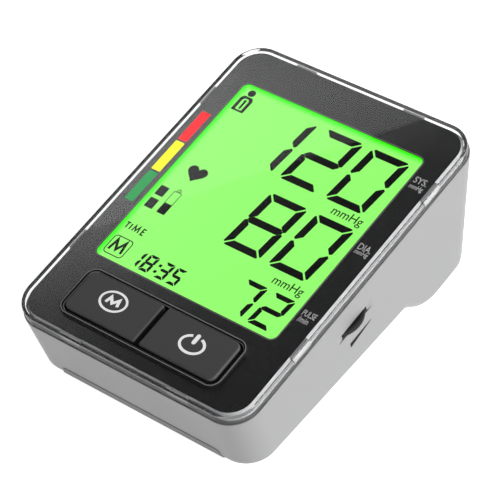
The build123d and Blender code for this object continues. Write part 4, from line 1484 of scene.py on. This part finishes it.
@dataclass
class Digits:
    """A row of seven-segment digits that lean to the right."""

    text: str
    right: float                   # right end of the last digit's foot
    low: float
    height: float
    width: float
    pitch: float
    thick: float
    gap: float
    lean: float = radians(5.0)
    cut: float = 0.32              # how far a segment's ends are cut off, as a share of its thickness
    colon_gap: float = 1.9         # extra room for the colon
    colon_shift: float = -0.2
    colon_dots: Flat = (0.27, 0.66)    # their heights, as shares of the digit's

    def bar(self, start: Flat, end: Flat, side: float, at_middle: bool = False) -> list[Flat]:
        """Outline of one segment.

        Args:
            start: the digit's corner where it begins, or the middle of the digit's side.
            end: the corner where it ends.
            side: 1 if the digit's inside is on its left, -1 if on its right.
            at_middle: True if it begins at the middle of the digit's side.

        Returns:
            The outline's points.
        """
        sx, sy = start
        ex, ey = end
        length = hypot(ex - sx, ey - sy)
        ux, uy = (ex - sx) / length, (ey - sy) / length
        nx, ny = -uy * side, ux * side
        t, c = self.thick, self.thick * self.cut
        s = self.gap * sqrt(0.5)
        near = [(s + c, 0.0), (s + c / 2, c / 2), (s + t, t)]
        if at_middle:
            near = [(self.gap / 2 + c * 0.6, 0.0), (self.gap / 2, c), (self.gap / 2 + t - c, t)]
        far = [(length - s - t, t), (length - s - c / 2, c / 2), (length - s - c, 0.0)]
        return [(sx + ux * a + nx * b, sy + uy * a + ny * b) for a, b in near + far]

    def middle_bar(self, left: float, right: float, y: float) -> list[Flat]:
        """Outline of the middle segment, pointed at both ends."""
        t, g = self.thick, self.gap
        half = t / 2
        return [(left + g, y), (left + g + half, y - half), (right - g - half, y - half), (right - g, y),
                (right - g - half, y + half), (left + g + half, y + half)]

    def outlines(self) -> list[list[Flat]]:
        """Outlines of every lit segment."""
        made = []
        last = len([c for c in self.text if c != ":"]) - 1
        number = 0
        for char in self.text:
            if char == ":":
                middle_of_gap = (self.pitch - self.width) / 2 + self.colon_shift
                centre = self.right - self.pitch * (last - number + 1) + middle_of_gap
                for share in self.colon_dots:
                    y = self.low + self.height * share
                    made.append(rounded_rectangle(self.thick, self.thick, (0.1,), centre, y, 1, 2))
                continue
            left = self.right - self.width - self.colon_room(number) - self.pitch * (last - number)
            right = left + self.width
            top, middle = self.low + self.height, self.low + self.height / 2
            bars = {
                "a": self.bar((left, top), (right, top), -1),
                "b": self.bar((right, middle), (right, top), 1, True),
                "c": self.bar((right, middle), (right, self.low), -1, True),
                "d": self.bar((left, self.low), (right, self.low), 1),
                "e": self.bar((left, middle), (left, self.low), 1, True),
                "f": self.bar((left, middle), (left, top), -1, True),
                "g": self.middle_bar(left, right, middle),
            }
            made += [bars[name] for name in SEGMENTS[char]]
            number += 1
        return [[(x + (y - self.low) * tan(self.lean), y) for x, y in outline] for outline in made]

    def colon_room(self, number: int) -> float:
        """How far a digit before the colon stands further left."""
        return self.colon_gap if number < self.text.find(":") else 0.0

    def parts(self, z: float, thickness: float) -> list[Solid]:
        """Points and faces of every segment."""
        return [prism(outline, z, z + thickness) for outline in self.outlines()]


@dataclass
class Display:
    """The backlit display: glowing glass with its segments and icons."""

    ink: float = 0.03
    stand: float = 0.02
    inset: float = 2.4
    inset_y: float = 3.0
    glass_thickness: float = 2.2
    glass_chamfer: float = 0.2
    unit_weight: float = 0.004
    gauge: Box = (-36.2, 64.1, -32.2, 76.2)
    gauge_line: float = 0.3
    gauge_level: float = 5.4
    time_letters: tuple[tuple[str, float, float], ...] = (
        ("T", -43.6, -41.2), ("I", -40.9, -40.2), ("M", -39.4, -35.9), ("E", -35.0, -32.9))
    reading_names: tuple[str, ...] = ("systolic_digits", "diastolic_digits", "pulse_digits", "clock_digits")
    readings: tuple[Digits, ...] = (
        Digits("120", 38.6, 101.6, 29.7, 18.6, 22.8, 3.3, 0.75),
        Digits("80", 38.6, 64.2, 29.7, 18.6, 22.8, 3.3, 0.75),
        Digits("72", 40.1, 38.4, 16.7, 10.5, 13.4, 2.15, 0.5),
        Digits("18:35", -5.9, 37.9, 8.4, 4.8, 6.05, 1.3, 0.3),
    )

    def glass(self) -> None:
        """The glass plate that glows from behind."""
        width = FORM.window_width + 2 * self.inset
        length = FORM.window_length + 2 * self.inset_y
        rings = []
        chamfer = self.glass_chamfer
        top = -FORM.glass_top
        low = top - self.glass_thickness
        for grow, z in ((-chamfer, low), (0, low + chamfer), (0, top - chamfer), (-chamfer, top)):
            size = (width + 2 * grow, length + 2 * grow)
            rings.append(at_height(rounded_rectangle(*size, (0.6 + grow,), 0, FORM.window_centre, 1, 4), z))
        glass = lofted("display_glass", rings)
        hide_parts("lcd_glass")
        dress(glass, Finishes.GLOW, "case")

    @staticmethod
    def person(x: float, y: float, z: float, thickness: float) -> list[Solid]:
        """A bust with a 1 on its chest, at a point on the face.

        Args:
            x: its middle.
            y: its middle, from front to back.
            z: height of its foot.
            thickness: how far it stands up.

        Returns:
            Points and faces of each part.
        """
        head = ellipse(x, y + 7.9, 1.75, 1.75, 20)
        body = [(-3.1, -2.6), (3.0, -2.6), (3.1, 4.4), (2.0, 5.8), (-2.0, 5.8), (-3.1, 4.4)]
        chest = [(-1.6, -1.7), (1.6, -1.7), (1.6, 3.6), (0.9, 4.6), (-0.9, 4.6), (-1.6, 3.6)]
        outer, inner = [[(x + a, y + b) for a, b in points] for points in (body, chest)]
        one = rounded_rectangle(1.0, 5.0, (0.05,), x + 0.15, y + 1.4, 1, 1)
        flag = [(x - 0.9, y + 3.0), (x - 0.3, y + 2.9), (x - 0.2, y + 3.9)]
        return [prism(head, z, z + thickness), frame_outline(outer, inner, z, z + thickness),
                prism(one, z, z + thickness), prism(flag, z, z + thickness)]

    @staticmethod
    def heart(x: float, y: float, width: float, height: float) -> list[Flat]:
        """Outline of a heart in a box centred on a point.

        Args:
            x: the box's middle.
            y: its middle, from front to back.
            width: the box's width.
            height: its size front to back.

        Returns:
            The outline's points.
        """
        raw = []
        steps = 48
        for k in range(steps):
            t = 2 * pi * k / steps
            raw.append((16 * sin(t) ** 3, 13 * cos(t) - 5 * cos(2 * t) - 2 * cos(3 * t) - cos(4 * t)))
        low = min(p[1] for p in raw)
        high = max(p[1] for p in raw)
        return [(x + a / 32 * width, y + ((b - low) / (high - low) - 0.5) * height) for a, b in raw]

    def battery(self, z: float, thickness: float) -> list[Solid]:
        """A battery gauge, a little under half full.

        Args:
            z: height of its foot.
            thickness: how far it stands up.

        Returns:
            Points and faces of each part.
        """
        left, low, right, high = self.gauge
        wide, tall, line = right - left, high - low, self.gauge_line
        x, y = (left + right) / 2, (low + high) / 2
        outer = rounded_rectangle(wide, tall, (0.3,), x, y, 1, 3)
        inner = rounded_rectangle(wide - 2 * line, tall - 2 * line, (0.15,), x, y, 1, 3)
        cap_out = rounded_rectangle(1.7, 1.6, (0.3,), x, high + 0.65, 1, 3)
        cap_in = rounded_rectangle(1.1, 1.0, (0.2,), x, high + 0.65, 1, 3)
        middle = low + 0.1 + self.gauge_level / 2
        full = rounded_rectangle(wide - 0.4, self.gauge_level, (0.1,), x, middle, 1, 2)
        top = z + thickness
        return [frame_outline(outer, inner, z, top), frame_outline(cap_out, cap_in, z, top), prism(full, z, top)]

    def icons(self, z: float) -> list[Solid]:
        """Small signs down the left side of the window.

        Args:
            z: height of their foot.

        Returns:
            Points and faces of each part.
        """
        t = self.ink
        parts = self.person(-39.8, 124.3, z, t)
        parts.append(prism(self.heart(-33.8, 86.7, 9.3, 8.2), z, z + t))
        for low in (64.2, 71.1):
            parts.append(prism(rounded_rectangle(4.2, 5.1, (0.05,), -40.85, low + 2.55, 1, 1), z, z + t))
        parts += self.battery(z, t)
        for letter, left, right in self.time_letters:
            parts += penned(letter, (left, 51.5, right, 55.0), 0.62, z, t)
        border = []
        for inset in (0.0, 0.42):
            size = (9.7 - 2 * inset, 9.6 - 2 * inset)
            border.append(rounded_rectangle(*size, (1.8 - inset,), -38.6, 42.9, 1, 6))
        parts.append(frame_outline(*border, z, z + t))
        parts += penned("M", (-42.3, 39.6, -35.0, 46.2), 1.15, z, t)
        parts.append(letters("mmHg", (26.9, 95.1, 41.4, 100.4), z, t, self.unit_weight))
        parts.append(letters("mmHg", (26.9, 56.6, 41.2, 61.8), z, t, self.unit_weight))
        return parts

    def build(self) -> None:
        """Makes the display."""
        self.glass()
        z = -FORM.glass_top + self.stand
        for name, digits in zip(self.reading_names, self.readings):
            dress(joined(name, digits.parts(z, self.ink)), Finishes.SEGMENT, "case")
        dress(joined("display_icons", self.icons(z)), Finishes.SEGMENT, "case")


# ---------------------------------------------------------------------- keys
@dataclass
class Keypad:
    """Two satin keys in a glossy well, with white signs."""

    ink: float = 0.03
    lip_section: tuple[Flat, ...] = (
        (0.35, 2.04), (0.6, 2.06), (1.55, 1.35), (1.6, 1.2), (1.4, 1.1), (0.3, 1.9))    # (inset, z)
    memory_place: Flat = (-20.2, 19.05)
    memory_ring: tuple[Flat, Flat] = ((6.55, 4.9), (5.55, 3.95))
    letter_half: Flat = (3.5, 2.1)
    letter_pen: float = 1.25
    power_place: Flat = (20.2, 17.95)
    power_ring: Flat = (5.95, 4.45)
    power_line: float = 1.15
    power_gap: float = radians(24.0)    # half the ring's opening
    power_bar: Flat = (1.8, 4.9)
    power_bar_rise: float = 2.7

    def band(self, centre: Flat) -> Solid:
        """The power sign's elliptic ring, open at its back.

        Args:
            centre: its middle on the face.

        Returns:
            Its points and faces.
        """
        steps = 72
        start, end = pi / 2 + self.power_gap, pi / 2 - self.power_gap + 2 * pi
        turns = [start + (end - start) * k / steps for k in range(steps + 1)]
        a, b = self.power_ring
        line = self.power_line
        rim = [(centre[0] + a * cos(t), centre[1] + b * sin(t)) for t in turns]
        hole = [(centre[0] + (a - line) * cos(t), centre[1] + (b - line) * sin(t)) for t in turns]
        low = FORM.key_height
        return prism(rim + hole[::-1], low, low + self.ink)

    def lip(self) -> None:
        """A glossy bevel round the inside of the well's rim, painted light grey as a highlight on the black
        well.
        """
        rings = []
        for inset, z in self.lip_section:
            wide, tall = FORM.rim()
            size = (wide - 2 * inset, tall - 2 * inset)
            corner = (FORM.well_corner - inset,)
            rings.append(at_height(rounded_rectangle(*size, corner, 0, FORM.key_centre, 4, 12), z))
        bevel = lofted("well_lip", rings, closed=True)
        settle_normals(bevel)
        # the bevel's light grey is a painted highlight
        dress(bevel, Finishes.PAINTED_LIP_HIGHLIGHT, "case")

    def build(self) -> None:
        """Makes the well, the keys and their signs."""
        dress(from_cad("key_tray", "key_well"), Finishes.WELL, "case")
        self.lip()
        dress(from_cad("memory_key_cap", "memory_key"), Finishes.KEY, "memory_key")
        dress(from_cad("power_key_cap", "power_key"), Finishes.KEY, "power_key")
        self.memory_sign()
        self.power_sign()

    def memory_sign(self) -> None:
        """An M in an oval ring."""
        top = FORM.key_height
        x, y = self.memory_place
        ring = [ellipse(x, y, a, b, 72) for a, b in self.memory_ring]
        a, b = self.letter_half
        letter = penned("M", (x - a, y - b, x + a, y + b), self.letter_pen, top, self.ink)
        sign = joined("memory_sign", [frame_outline(*ring, top, top + self.ink), *letter])
        dress(sign, Finishes.WHITE_INK, "memory_key")

    def power_sign(self) -> None:
        """A bar in an open ring."""
        top = FORM.key_height
        x, y = self.power_place
        round_end = (self.power_bar[0] / 2 - 0.02,)
        bar = rounded_rectangle(*self.power_bar, round_end, x, y + self.power_bar_rise, 1, 8)
        sign = joined("power_sign", [self.band((x, y)), prism(bar, top, top + self.ink)])
        dress(sign, Finishes.WHITE_INK, "power_key")


# ---------------------------------------------------------------------- wheel, foot, door
@dataclass
class VolumeWheel:
    """Thumb wheel with a finely ribbed edge, and the wedge printed below it."""

    teeth: int = 72
    tooth: float = 0.35
    chamfer: float = 0.3
    bore: float = 1.52
    sides: int = 144
    wedge_loud: Box = (61.3, -26.75, 61.3, -24.3)      # low y, low z, high y, high z of its thick end
    wedge_quiet: Box = (75.0, -24.75, 75.0, -24.35)
    wedge_sunk: float = 0.2
    wedge_proud: float = 0.03

    def build(self) -> None:
        """Makes the wheel with its ribs."""
        x, y = FORM.wheel_x(), FORM.wheel_y
        low = -FORM.wheel_depth - FORM.wheel_thickness / 2
        high = low + FORM.wheel_thickness
        root = FORM.wheel_radius - self.tooth
        c = self.chamfer
        profile = [(self.bore, low), (root - c, low), (root, low + c)]
        profile += [(root, high - c), (root - c, high), (self.bore, high)]
        rings = [at_height(ellipse(x, y, radius, radius, self.sides), z) for radius, z in profile]
        body = lofted("volume_disc", rings, closed=True)
        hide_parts("volume_wheel")
        dress(body, Finishes.WHEEL, "volume_wheel")
        tree = Repeats("wheel_ribs", {"Count": self.teeth, "Radius": root, "Rib": self.tooth,
                                      "Height": FORM.wheel_thickness - 2 * c})
        ring_of_bars(tree, tree.source.outputs["Count"], tree.source.outputs["Radius"], "Rib", "Height", 8)
        middle = Matrix.Translation((x, y, (low + high) / 2))
        ribs = tree.piece("wheel_ribs", FACE.matrix() @ middle, Finishes.WHEEL)
        dress(ribs, Finishes.WHEEL, "volume_wheel")

    def mark(self) -> None:
        """A thin wedge printed on the wall below the wheel, thick at its loud end."""
        points = []
        for y, low, _, high in (self.wedge_loud, self.wedge_quiet):
            for z in (low, high):
                points.append((FORM.side_x(z) - self.wedge_sunk, y, z))
                points.append((FORM.side_x(z) + self.wedge_proud, y, z))
        faces = [(0, 1, 3, 2), (4, 6, 7, 5), (0, 4, 5, 1), (2, 3, 7, 6), (0, 2, 6, 4), (1, 5, 7, 3)]
        dress(new_piece("volume_mark", points, faces), Finishes.SEGMENT, "case")


@dataclass
class UnderSide:
    """Feet, battery door, screws and the fittings of the left wall."""

    rib_count: int = 5
    rib_pitch: float = 1.8
    rib_length: float = 16.0
    rib_radius: float = 0.45
    rib_y: float = 116.0
    rib_sink: float = 0.1
    foot_half: float = 40.5
    foot_top: float = -27.6
    foot_depth: float = 12.0       # how far it runs under the case
    foot_corner: float = 2.4
    foot_flush: float = 0.2
    foot_stand: float = 1.05
    foot_root: float = 0.1
    foot_steps: int = 16

    def door_ribs(self) -> None:
        """Finger ribs across the battery door near its latch."""
        tree = Repeats("door_grip", {"Count": self.rib_count, "Radius": self.rib_radius,
                                     "Length": self.rib_length})
        line = tree.add("GeometryNodeMeshLine")
        tree.feed("Count", line.inputs["Count"])
        line.inputs["Offset"].default_value = (0, self.rib_pitch, 0)
        bar = tree.add("GeometryNodeMeshCylinder")
        bar.inputs["Vertices"].default_value = 16
        tree.feed("Radius", bar.inputs["Radius"])
        tree.feed("Length", bar.inputs["Depth"])
        spread = tree.add("GeometryNodeInstanceOnPoints")
        spread.inputs["Rotation"].default_value = (0, pi / 2, 0)
        tree.link(line.outputs[0], spread.inputs["Points"])
        tree.link(bar.outputs[0], spread.inputs["Instance"])
        tree.link(spread.outputs[0], tree.join.inputs[0])
        place = Matrix.Translation((0, self.rib_y, -FORM.hump_depth + self.rib_sink))
        ribs = tree.piece("door_ribs", FACE.matrix() @ place, Finishes.CASE)
        dress(ribs, Finishes.CASE, "battery_door")

    def toe(self) -> Flat:
        """Centre of the case's round lower front edge, as (y, z)."""
        r = FORM.edge_round
        wall = (-FORM.case_margin, -FORM.skirt_depth, -pi / 2 + FORM.front_draft)
        floor = (0.0, -FORM.slab_depth, -atan(FORM.slab_slope))
        return CaseShell.meet(*[(y - sin(a) * r, z + cos(a) * r, a) for y, z, a in (wall, floor)])

    def foot_side(self, top: float, on_wall: float, on_floor: float) -> list[Flat]:
        """One side of the foot's section: down the wall, round the lower edge and under the case.

        Args:
            top: height where it begins on the wall.
            on_wall: how far it stands out of the wall.
            on_floor: how far it stands out of the underside.

        Returns:
            Its (y, z) points.
        """
        ty, tz = self.toe()
        draft, slope = FORM.front_draft, atan(FORM.slab_slope)
        reach = FORM.edge_round + on_wall
        rise = (top - tz + reach * sin(draft)) / cos(draft)
        side = [(ty - reach * cos(draft) - rise * sin(draft), top)]
        first, last = pi + draft, 3 * pi / 2 - slope
        for k in range(self.foot_steps + 1):
            share = k / self.foot_steps
            turn = first + (last - first) * share
            reach = FORM.edge_round + on_wall + (on_floor - on_wall) * share
            side.append((ty + reach * cos(turn), tz + reach * sin(turn)))
        run = self.foot_depth - side[-1][0]
        side.append((self.foot_depth, side[-1][1] - run * tan(slope)))
        return side

    def foot_section(self, top: float) -> list[Flat]:
        """Closed section of the front foot, flat where it meets the table."""
        section = self.foot_side(top, self.foot_flush, self.foot_stand)
        section += self.foot_side(top, -self.foot_root, -self.foot_root)[::-1]
        table = [(-FACE.origin.z / MM - y * sin(FACE.tilt)) / cos(FACE.tilt) for y, _ in section]
        return [(y, max(z, level)) for (y, z), level in zip(section, table)]

    def front_pad(self) -> None:
        """The soft strip round the case's lower front edge, its upper corners round."""
        straight = self.foot_half - self.foot_corner
        ends = [self.foot_corner * sin(pi / 2 * k / 8) for k in range(9)]
        middle = [straight * (k / 20 - 1) for k in range(1, 40)]
        columns = [-straight - e for e in ends[::-1]] + middle + [straight + e for e in ends]
        rings = []
        for x in columns:
            over = max(0.0, abs(x) - straight)
            drop = self.foot_corner - sqrt(max(0.0, self.foot_corner ** 2 - over ** 2))
            rings.append([(x, y, z) for y, z in self.foot_section(self.foot_top - drop)])
        pad = lofted("front_pad", rings)
        settle_normals(pad)
        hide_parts("front_foot")
        dress(pad, Finishes.FOOT, "case")

    def build(self) -> None:
        """Dresses everything under and beside the case."""
        dress(from_cad("battery_lid", "battery_door"), Finishes.CASE, "battery_door")
        self.front_pad()
        dress(from_cad("rear_pads", "rear_feet"), Finishes.FOOT, "case")
        dress(from_cad("air_inlet", "air_port"), Finishes.PORT, "case")
        dress(from_cad("power_inlet", "power_socket"), Finishes.SWITCH, "case")
        dress(from_cad("case_screw_set", "case_screws"), Finishes.STEEL, "case")
        self.door_ribs()


class Insides:
    """Finishes of the frame nodes that sit inside the case."""

    NODES_OF = {
        Finishes.FRAME: ("top_frame",),
        Finishes.SWITCH: ("memory_switch", "power_switch", "control_chip", "pump_driver_chip",
                          "volume_control"),
        Finishes.PORT: ("memory_switch_button", "power_switch_button", "pump_head", "valve_body",
                        "air_manifold"),
        Finishes.DIFFUSER: ("lcd_backlight", "lcd_holder"),
        Finishes.RUBBER: ("lcd_contact_strip", "pump_cushion"),
        Finishes.BOARD: ("main_board",),
        Finishes.SILICONE: ("pressure_sensor", "port_tube", "valve_tube", "sensor_tube", "pump_tube"),
        Finishes.STEEL: ("volume_spindle", "pump_motor_can", "pump_rotor", "valve_core", "battery_contacts",
                         "battery_springs", "board_screws"),
        Finishes.MAGNET: ("pump_magnets", "loudspeaker"),
        Finishes.CONE: ("speaker_cone",),
        Finishes.CELL: ("battery_cell_1", "battery_cell_2", "battery_cell_3", "battery_cell_4"),
    }

    def build(self) -> None:
        """Paints every inner node."""
        for finish, nodes in self.NODES_OF.items():
            for node in nodes:
                repaint(node, finish)


# ---------------------------------------------------------------------- studio
@dataclass
class Studio:
    """White table, soft lamps and the camera."""

    target: Point = (10.064, 66.460, 0.0)     # on the face
    distance: float = 0.9409
    azimuth: float = radians(43.552)
    elevation: float = radians(41.677)
    roll: float = radians(6.849)
    lens: float = 175.49
    sensor: float = 36.0
    floor_half: float = 4.0
    floor_glow: float = 0.86
    world_light: float = 0.10
    lamp_aim: Point = (0.0, 0.0, 0.03)
    right_place: Point = (1.2, 0.25, 0.3)
    right_size: Flat = (0.9, 0.5)
    right_watts: float = 12.4
    top_place: Point = (0.1, 0.5, 1.5)
    top_size: Flat = (1.2, 1.2)
    top_watts: float = 2.0
    glare_height: float = 711.7                # millimetres over the face, as are its places
    glare_edge: tuple[Flat, Flat] = ((-428.3, 618.9), (-603.3, 398.3))
    glare_half: float = 260.0
    glare_length: float = 1.1
    glare_watts: float = 2.3
    fade_place: Point = (-474.4, 443.5, 711.6)
    fade_size: Flat = (0.28, 0.36)
    fade_watts: float = 0.60
    fade_rate: float = 4.6

    def camera(self) -> None:
        """Looks down on the monitor from its front right."""
        aim = FACE.place(*self.target)
        level = cos(self.elevation)
        away = Vector((level * sin(self.azimuth), -level * cos(self.azimuth), sin(self.elevation)))
        data = bpy.data.cameras.new("camera")
        data.lens = self.lens
        data.sensor_width = self.sensor
        data.clip_start = 0.05
        data.clip_end = 20.0
        camera = linked("camera", data)
        turn = (-away).to_track_quat("-Z", "Y").to_matrix().to_4x4() @ Matrix.Rotation(-self.roll, 4, "Z")
        camera.matrix_world = Matrix.Translation(aim + away * self.distance) @ turn
        bpy.context.scene.camera = camera

    def floor(self) -> None:
        """A pale table top."""
        mesh = bpy.data.meshes.new("table")
        half = self.floor_half
        corners = [(-half, -half, 0), (half, -half, 0), (half, half, 0), (-half, half, 0)]
        mesh.from_pydata(corners, [], [(0, 1, 2, 3)])
        table = linked("table", mesh)
        nodes = Nodes("table_white")
        tone = nodes.spread(nodes.noise(nodes.place(), 3.0), 0, 1)
        nodes.shape("Base Color", nodes.mixed(tone, shade(243, 243, 243), shade(248, 248, 248)))
        nodes.shader.inputs["Emission Color"].default_value = (1, 1, 1, 1)
        nodes.set(Roughness=0.9, Emission_Strength=self.floor_glow, Specular_IOR_Level=0.0)
        mesh.materials.append(nodes.material)

    @staticmethod
    def card(name: str, size: Flat, watts: float, place: Matrix) -> bpy.types.AreaLight:
        """A rectangular lamp.

        Args:
            name: its name.
            size: its width and height in metres.
            watts: its power.
            place: where it stands and how it is turned, in the row frame.

        Returns:
            The lamp's light.
        """
        data = bpy.data.lights.new(name, "AREA")
        data.shape = "RECTANGLE"
        data.size, data.size_y = size
        data.energy = watts
        linked(name, data).matrix_world = place
        return data

    def lamp(self, name: str, place: Point, size: Flat, watts: float) -> None:
        """A soft rectangular lamp that points at the monitor."""
        stand = Vector(place)
        turn = (Vector(self.lamp_aim) - stand).to_track_quat("-Z", "Y").to_matrix().to_4x4()
        self.card(name, size, watts, Matrix.Translation(stand) @ turn)

    def glare_card(self) -> None:
        """A square-edged lamp whose straight edge crosses the face as a reflection."""
        edge = [Vector((x, y, self.glare_height)) for x, y in self.glare_edge]
        along = (edge[0] - edge[1]).normalized()
        outward = Vector((-along.y, along.x, 0))
        middle = (edge[0] + edge[1]) / 2 + outward * self.glare_half
        local = Matrix((along, outward, along.cross(outward))).transposed()
        turn = Matrix.Rotation(FACE.tilt, 4, "X") @ local.to_4x4()
        size = (self.glare_length, 2 * self.glare_half * MM)
        self.card("glare_card", size, self.glare_watts, Matrix.Translation(FACE.place(*middle)) @ turn)

    def fade_card(self) -> None:
        """A lamp that is bright along its left edge and fades out to the right, for a soft sheen."""
        place = Matrix.Translation(FACE.place(*self.fade_place)) @ Matrix.Rotation(FACE.tilt, 4, "X")
        data = self.card("fade_card", self.fade_size, self.fade_watts, place)
        data.use_nodes = True
        nodes = Tree(data.node_tree)
        split = nodes.add("ShaderNodeSeparateXYZ")
        nodes.link(nodes.add("ShaderNodeNewGeometry").outputs["Parametric"], split.inputs[0])
        decay = nodes.math("EXPONENT", nodes.math("MULTIPLY", split.outputs["X"], -self.fade_rate))
        centred = nodes.math("SUBTRACT", nodes.math("MULTIPLY", split.outputs["Y"], 2.0), 1.0)
        square = nodes.math("MULTIPLY", nodes.math("POWER", centred, 2.0), -1.0)
        strength = nodes.math("MULTIPLY", decay, nodes.math("ADD", square, 1.0))
        nodes.link(strength, data.node_tree.nodes["Emission"].inputs["Strength"])

    def build(self) -> None:
        """Sets the camera, the table and the light."""
        self.camera()
        self.floor()
        world = bpy.data.worlds.new("studio")
        world.use_nodes = True
        background = world.node_tree.nodes["Background"]
        background.inputs["Color"].default_value = (1, 1, 1, 1)
        background.inputs["Strength"].default_value = self.world_light
        bpy.context.scene.world = world
        self.lamp("right_soft_box", self.right_place, self.right_size, self.right_watts)
        self.lamp("top_soft_box", self.top_place, self.top_size, self.top_watts)
        self.glare_card()
        self.fade_card()
        bpy.context.scene.view_settings.view_transform = "Standard"
        bpy.context.scene.view_settings.look = "None"


def main() -> None:
    """Builds every sub-assembly around the frame."""
    logging.basicConfig(level=logging.INFO, format="%(name)s: %(message)s")
    Studio().build()
    for kind in (CaseShell, ClearCover, FacePanel, Display, Keypad, VolumeWheel, UnderSide, Insides):
        log.info("building %s", kind.__name__)
        kind().build()
    VolumeWheel().mark()


if __name__ == "__main__":
    main()
